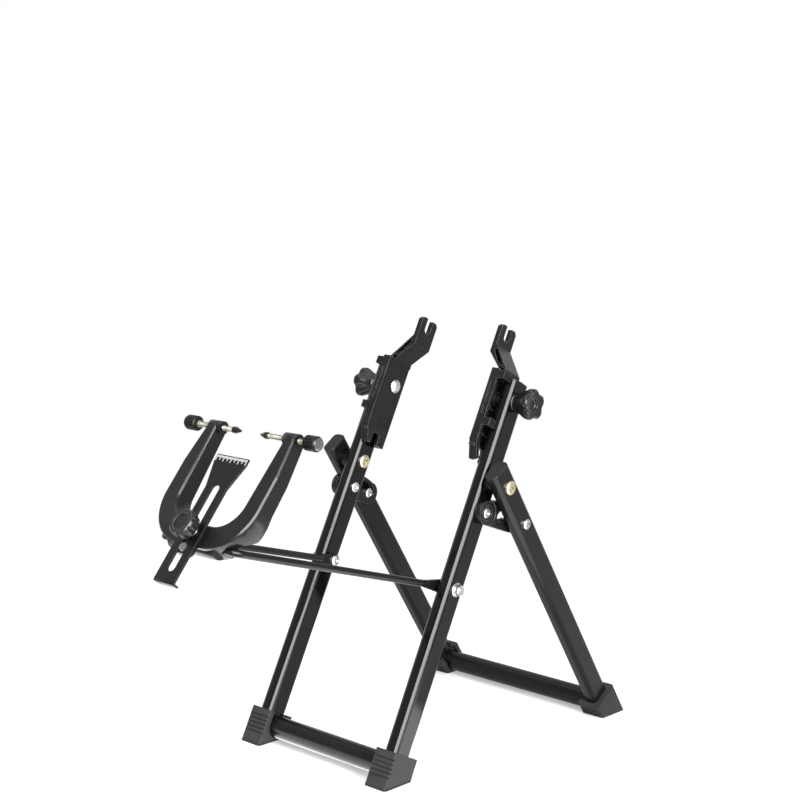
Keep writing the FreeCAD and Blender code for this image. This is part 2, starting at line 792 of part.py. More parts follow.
rear_bar = make_bar("rear_crossbar", leg_inner, rear_bar_drop)
in_leg_frame(rear_bar)
keep(rear_bar)


def make_plug(label, middle, top):
    """End plug: a rim as wide as the tube and an insert that fills its bore."""
    body = new_body(label)
    pad(body, "XY_Plane", [tube_section(middle, as_size(0))], s.plug_flange, at=top)
    inset = s.tube_wall + s.snug_fit
    pad(body, "XY_Plane", [tube_section(middle, inset)], s.plug_insert, at=top, back=True)
    crown = (top + s.plug_flange).value

    def on_top(edge):
        return all(abs(vertex.Z - crown) < SAME for vertex in edge.Vertexes)

    dress("PartDesign::Fillet", body, s.plug_flange / 2, on_top)
    return body


upright_plug = make_plug("upright_plug", upright_middle, -s.upright_top)
in_upright_frame(upright_plug)
keep_pair(upright_plug, "upright_plugs")

leg_plug = make_plug("leg_plug", leg_middle, s.leg_overhang)
in_leg_frame(leg_plug)
keep_pair(leg_plug, "leg_plugs")


# ---------------------------------------------------------------- rubber boots

def make_boot(label, middle, floor, slope):
    """Boot over a tube's end, flat on the bench."""
    body = new_body(label)
    half = s.foot_depth / 2
    left = middle - s.foot_width / 2
    top = -floor + s.foot_height
    side = [
        (-half, -floor - slope * half),
        (half, -floor + slope * half),
        (half, top),
        (-half, top),
    ]
    pad(body, "YZ_Plane", [side], s.foot_width, at=left)

    def along_tube(edge):
        way = edge.Vertexes[1].Point - edge.Vertexes[0].Point
        return abs(way.x) < SAME and abs(way.y) < SAME

    dress("PartDesign::Fillet", body, s.foot_round, along_tube)
    # Grip grooves across the front and back faces.
    first = top - 2 * s.groove_pitch
    inside = half - s.groove_depth
    grooves = [
        box_outline(-half - s.overcut, first, -inside, first + s.groove_width),
        box_outline(inside, first, half + s.overcut, first + s.groove_width),
    ]
    row = pocket(body, "YZ_Plane", grooves, back=True)
    repeat_along(body, row, "Z_Axis", s.groove_pitch, s.groove_count, back=True)
    # Socket for the tube, down to the level sole.
    pocket(body, "XY_Plane", [tube_section(middle, -s.snug_fit)], s.foot_height + s.tube_depth, at=top)
    return body


def level_sole(body, middle, floor, slope):
    """Wedge of rubber that fills the socket below the tube's level end."""
    half = s.tube_depth / 2
    side = [
        (-half, -floor - slope * half),
        (half, -floor + slope * half),
        (half, -floor + slope * half + sole_depth),
        (-half, -floor - slope * half + sole_depth),
    ]
    pad(body, "YZ_Plane", [side], s.tube_width + s.foot_seal, at=middle - (s.tube_width + s.foot_seal) / 2)


def notch_for_bar(body, middle, bar_drop):
    """Way for the crossbar through the boot's inner wall, open to the boot's top."""
    radius = s.bar_diameter / 2 + s.loose_fit
    way = [
        (radius, -bar_drop),
        (radius, -bar_drop + s.foot_height),
        (-radius, -bar_drop + s.foot_height),
        (-radius, -bar_drop, LEFT_HALF_TURN),
    ]
    pocket(body, "YZ_Plane", [way], s.foot_width, at=middle - s.tube_width / 2)


def finished_foot(label, middle, floor, slope, bar_drop):
    body = make_boot(label, middle, floor, slope)
    level_sole(body, middle, floor, slope)
    notch_for_bar(body, middle, bar_drop)
    return body


front_foot = finished_foot("right_front_foot", upright_middle, upright_floor, lean_slope, front_bar_drop)
in_upright_frame(front_foot)
keep_both_sides(front_foot, "front_foot")

rear_foot = finished_foot("right_rear_foot", leg_middle, leg_floor, leg_slope, rear_bar_drop)
in_leg_frame(rear_foot)
keep_both_sides(rear_foot, "rear_foot")


# ---------------------------------------------------------------- two-part pivot bolts

def make_sleeve(label, head_face, seat, end, barrel, head, head_height):
    """Barrel with a head on its inner end and a screw hole from its outer end."""
    body = new_body(label)
    screw = s.screw_diameter / 2 + s.snug_fit
    crown = head * s.head_crown
    outline = [
        (head_face, 0),
        (end, 0),
        (end, barrel / 2),
        (seat, barrel / 2),
        (seat, head / 2),
        (head_face + head_height * s.head_slope, head / 2),
        (head_face, crown),
    ]
    turn(body, "XY_Plane", outline, "H_Axis")
    pocket(body, "YZ_Plane", [Circle(0, 0, screw)], at=end, length=end - seat - s.barrel_wall_end)
    return body


def make_screw(label, seat, head_height, end, head):
    """Pan-headed screw whose head bears on the outside, with a cross recess."""
    body = new_body(label)
    crown = head * s.head_crown
    face = seat + head_height
    outline = [
        (end, 0),
        (face, 0),
        (face, crown),
        (face - head_height * s.head_slope, head / 2),
        (seat, head / 2),
        (seat, s.screw_diameter / 2),
        (end, s.screw_diameter / 2),
    ]
    turn(body, "XY_Plane", outline, "H_Axis")
    cross_recess(body, face, head, outward=True)
    return body


def cross_recess(body, face, head, outward):
    reach, half = head * s.cross_reach / 2, s.cross_width / 2
    cross = [
        (half, half),
        (half, reach),
        (-half, reach),
        (-half, half),
        (-reach, half),
        (-reach, -half),
        (-half, -half),
        (-half, -reach),
        (half, -reach),
        (half, -half),
        (reach, -half),
        (reach, half),
    ]
    pocket(body, "YZ_Plane", [cross], s.cross_depth, at=face, back=not outward)


def keep_pivot(name, frame, sleeve_sizes, screw_sizes):
    """One two-part bolt: its sleeve from the inner side and its screw from the outer side."""
    sleeve = make_sleeve(f"one_{name}_sleeve", *sleeve_sizes)
    cross_recess(sleeve, sleeve_sizes[0], sleeve_sizes[4], outward=False)
    screw = make_screw(f"one_{name}_bolt", *screw_sizes)
    for body, label in ((sleeve, f"{name}_sleeves"), (screw, f"{name}_bolts")):
        frame(body)
        keep_pair(body, label)


def at_link_pivot(body):
    place(body, 0, link_y, link_z, (1, 0, 0), link_tilt)


def at_slot_pin(body):
    drop = s.slot_pin_drop
    place(body, 0, fold_y + drop * sine(s.spread), fold_z - drop * cosine(s.spread), (1, 0, 0), s.spread)


link_inner = derived("link_inner", outer_face + s.loose_fit, "link's inner face")
link_outer = derived("link_outer", leg_inner - s.loose_fit, "link's outer face")
inner_recess = derived("inner_recess", link_inner + s.low_head + s.loose_fit, "floor of the slot's recess")
outer_recess = derived("outer_recess", link_outer - s.low_head - s.loose_fit, "floor of the pivot's recess")

keep_pivot(
    "pivot",
    in_leg_frame,
    (inner_face - s.head_height, inner_face, leg_outer, s.barrel_diameter, s.pivot_head, s.head_height),
    (leg_outer, s.head_height, leg_outer - s.tube_width, s.pivot_head),
)
keep_pivot(
    "link",
    at_link_pivot,
    (inner_face - s.low_head, inner_face, outer_recess, s.pin_diameter, s.pin_head, s.low_head),
    (outer_recess, s.low_head, inner_face + s.tube_width / 2, s.pin_head),
)
keep_pivot(
    "slot",
    at_slot_pin,
    (inner_recess - s.low_head, inner_recess, leg_outer, s.pin_diameter, s.pin_head, s.low_head),
    (leg_outer, s.head_height, leg_outer - s.tube_width, s.pin_head),
)


def make_spacer():
    body = new_body("pivot_spacer")
    rings = [Circle(0, 0, s.spacer_diameter / 2), Circle(0, 0, s.barrel_diameter / 2 + s.snug_fit)]
    pad(body, "YZ_Plane", rings, s.leg_gap, at=outer_face)
    return body


spacer = make_spacer()
in_leg_frame(spacer)
keep_pair(spacer, "pivot_spacers")


# ---------------------------------------------------------------- slotted links

half_chord = derived("half_chord", (reach_open - reach_shut) / 2, "half the length of the slot's way")
slot_middle = derived("slot_middle", (reach_open + reach_shut) / 2, "middle of the slot's way")
way_offset = half_along - slot_middle
way_centre = derived(
    "way_centre",
    (half_chord * half_chord - way_offset * way_offset - half_side * half_side) / (2 * half_side),
    "centre of the slot's curve beside the middle line",
)
way_radius = derived("way_radius", root(way_centre * way_centre + half_chord * half_chord), "slot's curve")


def slot_path(half_width):
    """Curved slot along the pin's way: an arc through its two ends and its halfway point."""
    side = way_centre / way_radius * half_width
    along = half_chord / way_radius * half_width
    return [
        (side, -reach_open - along, RIGHT_HALF_TURN),
        (-side, -reach_open + along, way_radius - half_width),
        (-side, -reach_shut - along, RIGHT_HALF_TURN),
        (side, -reach_shut + along, -way_radius - half_width),
    ]


def make_link():
    """Moulded link that turns on the upright and lets the leg's pin run in its slot."""
    body = new_body("right_link")
    radius = s.link_radius
    half_length = reach_open / 2
    bulge = (half_length * half_length + s.link_bulge * s.link_bulge) / (2 * s.link_bulge)
    outline = [
        (-radius, -reach_open, LEFT_HALF_TURN),
        (radius, -reach_open, bulge),
        (radius, 0, LEFT_HALF_TURN),
        (-radius, 0),
    ]
    pad(body, "YZ_Plane", [outline], link_outer - link_inner, at=link_inner)
    pocket(body, "YZ_Plane", [Circle(0, 0, s.pin_diameter / 2 + s.running_fit)], back=True)
    pocket(
        body, "YZ_Plane", [Circle(0, 0, s.pin_head / 2 + s.recess_wall)],
        link_outer - outer_recess, at=link_outer,
    )
    ring_inside = s.pin_head / 2 + s.recess_wall + s.ring_width
    step = [Circle(0, 0, radius + s.overcut), Circle(0, 0, ring_inside)]
    pocket(body, "YZ_Plane", step, s.ring_step, at=link_outer)
    pocket(body, "YZ_Plane", [slot_path(s.pin_diameter / 2 + s.slot_play)], back=True)
    recess = slot_path(s.pin_head / 2 + s.slot_play)
    pocket(body, "YZ_Plane", [recess], inner_recess - link_inner, at=link_inner, back=True)
    return body


link = make_link()
in_link_frame(link)
keep_both_sides(link, "link")


# ---------------------------------------------------------------- hub holders

def make_holder():
    """Moulded holder on the upright's inner side, with the hub's dropout on a bent arm."""
    body = new_body("right_hub_holder")
    front, back = -s.holder_front, s.holder_back
    head, foot = -s.holder_head, -s.holder_foot
    wall = s.holder_wall
    cut = s.holder_chamfer
    notch_left = -s.notch_offset - s.notch_width / 2
    notch_right = -s.notch_offset + s.notch_width / 2
    notch_top = foot + s.notch_depth - s.notch_width / 2
    web = [
        (front + cut, foot),
        (notch_left, foot),
        (notch_left, notch_top, RIGHT_HALF_TURN),
        (notch_right, notch_top),
        (notch_right, foot),
        (back, foot),
        (back, head),
        (front, head),
        (front, foot + 2 * cut),
    ]
    pad(body, "YZ_Plane", [web], s.holder_web, at=web_face)
    # Edge walls that stand on the web: the front one bends with the slanted corner.
    front_wall = [
        (front + cut, foot),
        (front + cut + wall, foot + wall),
        (front + wall, foot + 2 * cut + wall),
        (front + wall, head),
        (front, head),
        (front, foot + 2 * cut),
    ]
    wall_height = inner_face - web_face
    pad(body, "YZ_Plane", [front_wall], wall_height - s.snug_fit, at=web_face)
    pad(body, "YZ_Plane", [box_outline(back - wall, foot, back, head)], wall_height - s.snug_fit, at=web_face)
    # Clamp boss round the bolt, flush with the tube.
    boss = Circle(0, -s.clamp_drop, s.clamp_head / 2 + s.boss_wall)
    pad(body, "YZ_Plane", [boss], wall_height - s.snug_fit, at=web_face)
    # Stiffening ribs from wall to wall below the boss.
    first_rib = -s.clamp_drop - s.clamp_head
    rib_box = box_outline(front + wall / 2, first_rib, back - wall / 2, first_rib + wall * s.rib_share)
    rib = pad(body, "YZ_Plane", [rib_box], wall_height * s.rib_share, at=web_face)
    repeat_along(body, rib, "Z_Axis", s.holder_rib_pitch, s.holder_rib_count, back=True)
    # Lugs that lie against the tube's front face.
    tube_front = -s.tube_depth / 2 - s.snug_fit
    for height in (s.lug_low, s.lug_high):
        lug = box_outline(front, -height - s.lug_height / 2, tube_front, -height + s.lug_height / 2)
        pad(body, "YZ_Plane", [lug], wall_height + s.lug_reach, at=web_face)
    # Long groove down the front edge, from lug to lug.
    groove_left = web_face + (wall_height - s.edge_groove) / 2
    groove_low = -s.lug_low + s.lug_height
    groove_high = -s.lug_high - s.lug_height
    groove = box_outline(groove_left, groove_low, groove_left + s.edge_groove, groove_high)
    pocket(body, "XZ_Plane", [groove], s.edge_groove_depth, at=-front)
    make_dropout_arm(body, head, wall)
    pocket(body, "YZ_Plane", [Circle(0, -s.clamp_drop, clamp_hole)], back=True)
    return body


def between(start, end, share):
    """Point at this share of the way from start to end."""
    return tuple(first + (last - first) * share for first, last in zip(start, end))


def make_dropout_arm(body, head, wall):
    """Arm that bends inwards above the shoulder, and the dropout on its end."""
    slot_half = s.dropout_slot / 2
    cheek_in = s.dropout_gap / 2
    cheek_out = cheek_in + s.dropout_thick
    half = s.dropout_half
    low = -s.dropout_drop
    arm_bottom = head - wall
    arm = [
        (web_face, arm_bottom),
        (inner_face - s.snug_fit, arm_bottom),
        (inner_face - s.snug_fit, head + wall),
        (cheek_out, low + 2 * wall),
        (cheek_in, low + 2 * wall),
        (cheek_in, low - wall),
        (web_face, head + wall),
    ]
    # The arm runs from the holder's front edge to the dropout's rear edge.
    pad(body, "XZ_Plane", [arm], half * 2, at=-half)
    cheek = [
        (-half, low),
        (half, low),
        (half, s.dropout_rise - wall),
        (half - wall, s.dropout_rise),
        (slot_half, s.dropout_rise),
        (slot_half, 0, RIGHT_HALF_TURN),
        (-slot_half, 0),
        (-slot_half, s.dropout_rise),
        (wall - half, s.dropout_rise),
        (-half, s.dropout_rise - wall),
    ]
    pad(body, "YZ_Plane", [cheek], s.dropout_thick, at=cheek_in)
    # Weight-saving pockets, front and back, that leave the arm as a ribbed moulding.
    rib = s.window_rib
    inner_foot = (web_face + rib, head)
    outer_foot = (inner_face - rib, head)
    outer_bend = (inner_face - rib, head + wall)
    outer_top = (cheek_out + rib, low + wall / 2)
    inner_top = (cheek_out, low - wall / 2)
    lower = [inner_foot, outer_foot, outer_bend, between(inner_foot, inner_top, s.window_low)]
    upper = [
        between(inner_foot, inner_top, s.window_high),
        between(outer_bend, outer_top, s.window_slant),
        outer_top,
        inner_top,
    ]
    for start in (half, -rib / 2):
        pocket(body, "XZ_Plane", [lower, upper], half - 1.5 * rib, at=start)


holder = make_holder()
in_upright_frame(holder)
keep_both_sides(holder, "hub_holder")


# ---------------------------------------------------------------- clamp bolts and knobs

grip_start = derived("grip_start", outer_face + s.washer_thick + s.knob_neck_length, "clamp knob's grip")
knob_end = derived("knob_end", grip_start + s.knob_length + s.knob_crown, "clamp knob's outer end")


def at_clamp(body):
    drop = s.clamp_drop
    place(body, 0, s.hub_back - drop * sine(s.lean), s.hub_height - drop * cosine(s.lean), (-1, 0, 0), s.lean)


def make_clamp_bolt():
    body = new_body("clamp_bolt_piece")
    radius = s.clamp_bolt / 2
    head = s.clamp_head / 2
    crown = (head * head + s.clamp_head_height * s.clamp_head_height) / (2 * s.clamp_head_height)
    outline = [
        (web_face - s.clamp_head_height, 0),
        (knob_end - s.knob_cup_depth, 0),
        (knob_end - s.knob_cup_depth, radius),
        (web_face, radius),
        (web_face, head, crown),
    ]
    turn(body, "XY_Plane", outline, "H_Axis")
    return body


clamp_bolt = make_clamp_bolt()
at_clamp(clamp_bolt)
keep_pair(clamp_bolt, "holder_bolts")


def make_ring(label, outer, inner, start, thick):
    body = new_body(label)
    pad(body, "YZ_Plane", [Circle(0, 0, outer / 2), Circle(0, 0, inner)], thick, at=start)
    return body


washer = make_ring("clamp_washer_piece", s.clamp_washer, clamp_hole, outer_face, s.washer_thick)
at_clamp(washer)
keep_pair(washer, "holder_washers")


def make_clamp_knob():
    """Lobed hand knob with a tapered neck and a hollow outer end."""
    body = new_body("right_holder_knob")
    start = outer_face + s.washer_thick
    grip = s.knob_diameter / 2
    outline = [
        (start, 0),
        (knob_end, 0),
        (knob_end, grip - s.knob_crown),
        (knob_end - s.knob_crown, grip),
        (grip_start, grip),
        (grip_start - s.knob_crown, grip - s.knob_crown),
        (start, s.knob_neck / 2),
    ]
    turn(body, "XY_Plane", outline, "H_Axis")
    cup = s.knob_cup_depth
    pocket(body, "YZ_Plane", [Circle(0, 0, s.knob_cup / 2)], cup, at=knob_end)
    pocket(body, "YZ_Plane", [Circle(0, 0, s.clamp_bolt / 2 + s.running_fit)], back=True)
    hollow = Circle(0, s.knob_core / 2 + s.knob_scallop, s.knob_scallop)
    hollow_start = start + s.knob_collar
    scallop = pocket(body, "YZ_Plane", [hollow], knob_end - start, at=hollow_start, back=True)
    repeat_round(body, scallop, "X_Axis", s.knob_lobes)
    return body


clamp_knob = make_clamp_knob()
at_clamp(clamp_knob)
keep_both_sides(clamp_knob, "holder_knob")


# ---------------------------------------------------------------- caliper arm and its pivots

eye_outer = derived("eye_outer", inner_face - s.friction_washer, "eye's face towards the upright")
eye_inner = derived("eye_inner", eye_outer - s.eye_thick, "eye's face towards the middle")
eye_middle = derived("eye_middle", (eye_outer + eye_inner) / 2, "middle of the eye")


def make_caliper_arm():
    """Round rod bent into a wide U, with a flattened eye on each end."""
    body = new_body("caliper_arm")
    reach, bend, half = s.arm_length, s.arm_bend, s.arm_half
    tail = s.eye_tail
    # The side rods draw in by this angle, so each corner turns a little less than square.
    draw_in = derived("draw_in", angle_of(eye_middle - half, reach), "side rods from straight ahead")
    bend_depth = bend * (1 - sine(draw_in))
    side_x = half + bend_depth * tangent(draw_in)
    side_y = bend_depth - reach
    corner_x = side_x - bend * cosine(draw_in)
    start_x = half + (reach - tail) * tangent(draw_in)
    path = body.newObject("Sketcher::SketchObject", "Rod_path")
    path.AttachmentSupport = (origin_plane(body, "XY_Plane"), [""])
    path.MapMode = "FlatFace"
    points = [
        (start_x, -tail),
        (side_x, side_y),
        (corner_x, -reach),
        (-corner_x, -reach),
        (-side_x, side_y),
        (-start_x, -tail),
    ]
    spots = [Vector(as_size(x).value, as_size(y).value, 0) for x, y in points]
    path.addGeometry(Part.LineSegment(spots[0], spots[1]), False)
    path.addGeometry(arc_through(spots[1], spots[2], -bend.value), False)
    path.addGeometry(Part.LineSegment(spots[2], spots[3]), False)
    path.addGeometry(arc_through(spots[3], spots[4], -bend.value), False)
    path.addGeometry(Part.LineSegment(spots[4], spots[5]), False)
    dimensions = Dimensions(path)
    for line, corner in ((0, 1), (2, 3)):
        dimensions.add(None, "Coincident", line, 2, corner, 2)
        dimensions.add(None, "Coincident", corner, 1, line + 2, 1)
        dimensions.add(bend, "Radius", corner)
    starts = ((0, 1), (1, 2), (2, 1), (3, 2), (4, 1), (4, 2))
    for (index, end), (across, along) in zip(starts, points):
        dimensions.add(as_size(across), "DistanceX", -1, 1, index, end)
        dimensions.add(as_size(along), "DistanceY", -1, 1, index, end)
    dimensions.put_in()
    profile = add_sketch(body, "YZ_Plane", [Circle(-reach, 0, s.arm_rod / 2)])
    pipe = body.newObject("PartDesign::AdditivePipe", "Rod")
    pipe.Profile = profile
    pipe.Spine = path
    body.recompute(True)
    return body


def add_eyes(body):
    tail_half = s.arm_rod / 2
    eye = s.eye_diameter / 2
    tab = [
        (0, -eye, LEFT_HALF_TURN),
        (0, eye),
        (-s.eye_tail - s.eye_taper, tail_half),
        (-s.eye_tail - s.eye_taper, -tail_half),
    ]
    for start, back in ((eye_inner, False), (-eye_inner, True)):
        pad(body, "YZ_Plane", [tab], s.eye_thick, at=start, back=back)
    bore = [Circle(0, 0, s.arm_bolt / 2 + s.running_fit)]
    pocket(body, "YZ_Plane", bore, back=True)
    pocket(body, "YZ_Plane", bore)


caliper_arm = make_caliper_arm()
add_eyes(caliper_arm)
in_arm_frame(caliper_arm)
keep(caliper_arm)


def make_arm_bolt():
    """Pivot screw, put in from the middle of the stand."""
    body = new_body("arm_bolt_piece")
    head = s.arm_bolt_head
    end = outer_face + s.nut_washer + s.arm_nut_height + s.cross_depth / 2
    outline = [
        (eye_inner - s.head_height, 0),
        (end, 0),
        (end, s.arm_bolt / 2),
        (eye_inner, s.arm_bolt / 2),
        (eye_inner, head / 2),
        (eye_inner - s.head_height * (1 - s.head_slope), head / 2),
        (eye_inner - s.head_height, head * s.head_crown),
    ]
    turn(body, "XY_Plane", outline, "H_Axis")
    cross_recess(body, eye_inner - s.head_height, head, outward=False)
    return body


arm_bolt = make_arm_bolt()
in_arm_frame(arm_bolt)
keep_pair(arm_bolt, "arm_pivot_bolts")

pivot_disc = make_ring("friction_washer_piece", s.arm_washer, arm_hole, eye_outer, s.friction_washer)
in_arm_frame(pivot_disc)
keep_pair(pivot_disc, "friction_washers")

steel_disc = make_ring("arm_washer_piece", s.arm_washer, arm_hole, outer_face, s.nut_washer)
in_arm_frame(steel_disc)
keep_pair(steel_disc, "arm_pivot_washers")

arm_nut = new_body("arm_nut_piece")
nut_start = outer_face + s.nut_washer
pad(arm_nut, "YZ_Plane", [hexagon(s.arm_nut_flats), Circle(0, 0, arm_hole)], s.arm_nut_height, at=nut_start)
in_arm_frame(arm_nut)
keep_pair(arm_nut, "arm_pivot_nuts")


# ---------------------------------------------------------------- cast caliper body

face_y = -s.rod_to_face
outer_middle = derived("outer_middle", s.outer_round - s.body_bottom, "height of the outer curve's centre")
inner_middle = derived("inner_middle", s.inner_bottom + s.inner_round, "height of the inner curve's centre")
outer_half = derived("outer_half", s.body_flat + s.outer_round, "half width of the U")
inner_half = derived("inner_half", s.body_flat + s.inner_round, "inner half width of the U")
stud_depth = derived("stud_depth", s.rod_to_face - s.arm_rod / 2 - s.stud_clear, "stud's hole in the body")


def caliper_outline():
    """U seen from the front: flat base, quarter-round corners, arms that close in a little."""
    top = s.barrel_height
    return [
        (-s.body_flat, -s.body_bottom),
        (s.body_flat, -s.body_bottom, s.outer_round),
        (outer_half, outer_middle),
        (outer_half, s.body_shoulder),
        (s.body_tip, top),
        (s.inner_tip, top),
        (inner_half, inner_middle, -s.inner_round),
        (s.body_flat, s.inner_bottom),
        (-s.body_flat, s.inner_bottom, -s.inner_round),
        (-inner_half, inner_middle),
        (-s.inner_tip, top),
        (-s.body_tip, top),
        (-outer_half, s.body_shoulder),
        (-outer_half, outer_middle, s.outer_round),
    ]


def make_caliper_body():
    body = new_body("caliper_body")
    # The front plane looks towards -Y, so the casting is padded backwards from its face.
    pad(body, "XZ_Plane", [caliper_outline()], s.base_depth, at=-face_y, back=True)
    arm_ends = s.barrel_height.value

    def on_front_edge(edge):
        on_face = all(abs(vertex.Y - face_y.value) < SAME for vertex in edge.Vertexes)
        return on_face and edge.BoundBox.ZMin < arm_ends - SAME

    dress("PartDesign::Chamfer", body, s.body_chamfer, on_front_edge)
    back_y = face_y + s.base_depth
    # The arms are thinner than the base and thin out to their tips.
    thin_low = s.inner_bottom + s.thin_start
    thinning = [
        (back_y + s.overcut, thin_low),
        (back_y + s.overcut, s.barrel_height + s.overcut),
        (face_y + s.tip_depth, s.barrel_height + s.overcut),
        (face_y + s.arm_depth, inner_middle),
        (back_y, thin_low),
    ]
    pocket(body, "YZ_Plane", [thinning], at=-outer_half - s.overcut, back=True)
    relieve_for_side_rods(body, back_y)
    # Round housing along the cross rod and the tab that carries the guide pin.
    housing = [Circle(0, 0, s.housing_diameter / 2)]
    pad(body, "YZ_Plane", housing, s.housing_half * 2, at=-s.housing_half)
    tab = rounded_box(as_size(0), -s.tab_drop / 2, s.tab_half * 2, s.tab_drop, s.tab_round)
    pad(body, "XZ_Plane", [tab], s.tab_depth, at=-face_y, back=True)
    # Screw barrels across the arms' tips.
    barrel = Circle(face_y + s.barrel_back, s.barrel_height, s.barrel_outer / 2)
    length = s.barrel_outer_end - s.barrel_inner_end
    pad(body, "YZ_Plane", [barrel], length, at=s.barrel_inner_end)
    pad(body, "YZ_Plane", [barrel], length, at=-s.barrel_inner_end, back=True)
    rod_hole = Circle(face_y + s.barrel_back, s.barrel_height, s.gauge_rod / 2 + s.running_fit)
    pocket(body, "YZ_Plane", [rod_hole], back=True)
    pocket(body, "YZ_Plane", [rod_hole])
    # Bore on the arm's cross rod, the stud's hole and the guide pin's hole.
    cross_bore = [Circle(0, 0, s.arm_rod / 2 + s.running_fit)]
    pocket(body, "YZ_Plane", cross_bore, back=True)
    pocket(body, "YZ_Plane", cross_bore)
    stud_hole = Circle(0, s.stud_height, s.stud_diameter / 2 + s.running_fit)
    pocket(body, "XZ_Plane", [stud_hole], stud_depth, at=-face_y)
    pin_depth = s.rod_to_face - s.arm_rod
    pocket(body, "XZ_Plane", [Circle(0, -s.guide_pin_drop, s.guide_pin / 2)], pin_depth, at=-face_y)
    return body


def relieve_for_side_rods(body, back_y):
    """Cuts the lower back corners free of the side rods with the caliper tipped right back."""
    clear = s.arm_rod / 2 + 2 * s.loose_fit
    highest = s.gauge_tilt - s.arm_rise + s.tilt_back
    slope = tangent(highest)
    rise = clear / cosine(highest)
    behind = back_y + s.overcut
    relief = [
        (-clear, -s.body_bottom - s.overcut),
        (behind, -s.body_bottom - s.overcut),
        (behind, rise + slope * behind),
        (-clear, rise - slope * clear),
    ]
    pocket(body, "YZ_Plane", [relief], outer_half, at=s.relief_start, back=True)
    pocket(body, "YZ_Plane", [relief], outer_half, at=-s.relief_start)


caliper_body = make_caliper_body()
in_gauge_frame(caliper_body)
keep(caliper_body)

guide = new_body("plate_guide_pin")
guide_length = s.rod_to_face - s.arm_rod + s.plate_thick + s.guide_pin_proud
guide_front = face_y - s.plate_thick - s.guide_pin_proud
pad(guide, "XZ_Plane", [Circle(0, -s.guide_pin_drop, s.guide_pin / 2)], guide_length, at=-guide_front, back=True)
in_gauge_frame(guide)
keep(guide)


# ---------------------------------------------------------------- gauge screws

gauge_y = derived("gauge_y", face_y + s.barrel_back, "gauge screws' axis in the gauge frame")


def turned_on_gauge_axis(label, outline):
    """Revolves an outline of (x, radius) points round the gauge screws' axis."""
    body = new_body(label)
    turn(body, "XY_Plane", outline, "H_Axis")
    return body


def at_gauge(body):
    side = s.gauge_tilt
    depth = rod_y + gauge_y * cosine(side) + s.barrel_height * sine(side)
    height = rod_z - gauge_y * sine(side) + s.barrel_height * cosine(side)
    place(body, 0, depth, height, (-1, 0, 0), side)


def make_gauge(tip_x):
    """Screw with collar, knurled knob and pointed tip, all on one axis."""
    knob_out = tip_x + s.gauge_reach
    knob_in = knob_out - s.gauge_knob_length
    rod = s.gauge_rod / 2
    seat = tip_x + s.gauge_tip_length
    buried = knob_out - s.gauge_knob_length / 2
    screw = turned_on_gauge_axis(
        "gauge_screw_piece",
        [
            (seat - s.gauge_tip_length / 2, 0),
            (buried, 0),
            (buried, rod),
            (knob_in, rod),
            (knob_in, s.gauge_collar / 2),
            (knob_in - s.gauge_collar_length, s.gauge_collar / 2),
            (knob_in - s.gauge_collar_length, rod),
            (seat, rod),
            (seat, rod / 2),
            (seat - s.gauge_tip_length / 2, rod / 2),
        ],
    )
    tip = turned_on_gauge_axis(
        "gauge_tip_piece",
        [
            (tip_x, 0),
            (seat - s.gauge_tip_length / 2, 0),
            (seat - s.gauge_tip_length / 2, rod / 2),
            (seat, rod / 2),
            (seat, s.gauge_tip_diameter / 2),
            (seat - s.gauge_tip_length / 3, s.gauge_tip_diameter / 2),
            (tip_x, s.gauge_tip_nose / 2),
        ],
    )
    knob = make_gauge_knob(knob_in, knob_out, buried, rod)
    for body in (screw, tip, knob):
        at_gauge(body)
    return screw, knob, tip


def make_gauge_knob(knob_in, knob_out, buried, rod):
    grip = s.gauge_knob / 2
    bend = s.gauge_knob_round
    bore = rod + s.running_fit
    blind_end = buried + s.loose_fit
    knob = turned_on_gauge_axis(
        "gauge_knob_piece",
        [
            (knob_in, bore),
            (blind_end, bore),
            (blind_end, 0),
            (knob_out, 0),
            (knob_out, grip - bend, -bend),
            (knob_out - bend, grip),
            (knob_in + s.gauge_rim, grip),
            (knob_in, grip - s.gauge_rim),
        ],
    )
    size = s.gauge_flute_size / 2
    flute = [(-size, grip + s.overcut), (0, grip - size), (size, grip + s.overcut)]
    length = s.gauge_knob_length - 2 * bend
    groove = pocket(knob, "YZ_Plane", [flute], length, at=knob_in - s.overcut, back=True)
    repeat_round(knob, groove, "X_Axis", s.gauge_flutes)
    return knob


def keep_gauge(side, tip_x):
    labels = (f"{side}_gauge_screw", f"{side}_gauge_knob", f"{side}_gauge_tip")
    for body, label in zip(make_gauge(tip_x), labels):
        if side == "left":
            body.Label = f"pattern_of_{label}"
            keep(mirrored(body, label))
        else:
            keep(body, label)


keep_gauge("right", s.right_tip)
keep_gauge("left", s.left_tip)


# ---------------------------------------------------------------- gauge plate and its knob

plate_front = face_y - s.plate_thick


def make_gauge_plate():
    """Slotted strip with a wide scale end and a lip bent back under the casting."""
    body = new_body("gauge_plate")
    half, wide = s.plate_width / 2, s.plate_flare / 2
    low, high = -s.plate_bottom, s.plate_top
    flare = high - s.plate_flare_height
    outline = [
        (-half, low),
        (half, low),
        (half, flare - s.plate_taper),
        (wide, flare),
        (wide, high),
        (-wide, high),
        (-wide, flare),
        (-half, flare - s.plate_taper),
    ]
    end = s.plate_slot / 2
    slot = slot_outline(as_size(0), -s.slot_bottom + end, s.slot_top - end, s.plate_slot)
    pad(body, "XZ_Plane", [outline, slot], s.plate_thick, at=-face_y)
    lip = box_outline(-half, low, half, low + s.plate_thick)
    pad(body, "XZ_Plane", [lip], s.plate_lip, at=-face_y, back=True)
    front = plate_front.value

    def on_bend_line(edge):
        box = edge.BoundBox
        on_front = abs(box.YMin - front) < SAME and abs(box.YMax - front) < SAME
        return on_front and abs(box.ZMax - low.value) < SAME

    dress("PartDesign::Fillet", body, s.plate_bend, on_bend_line)
    return body


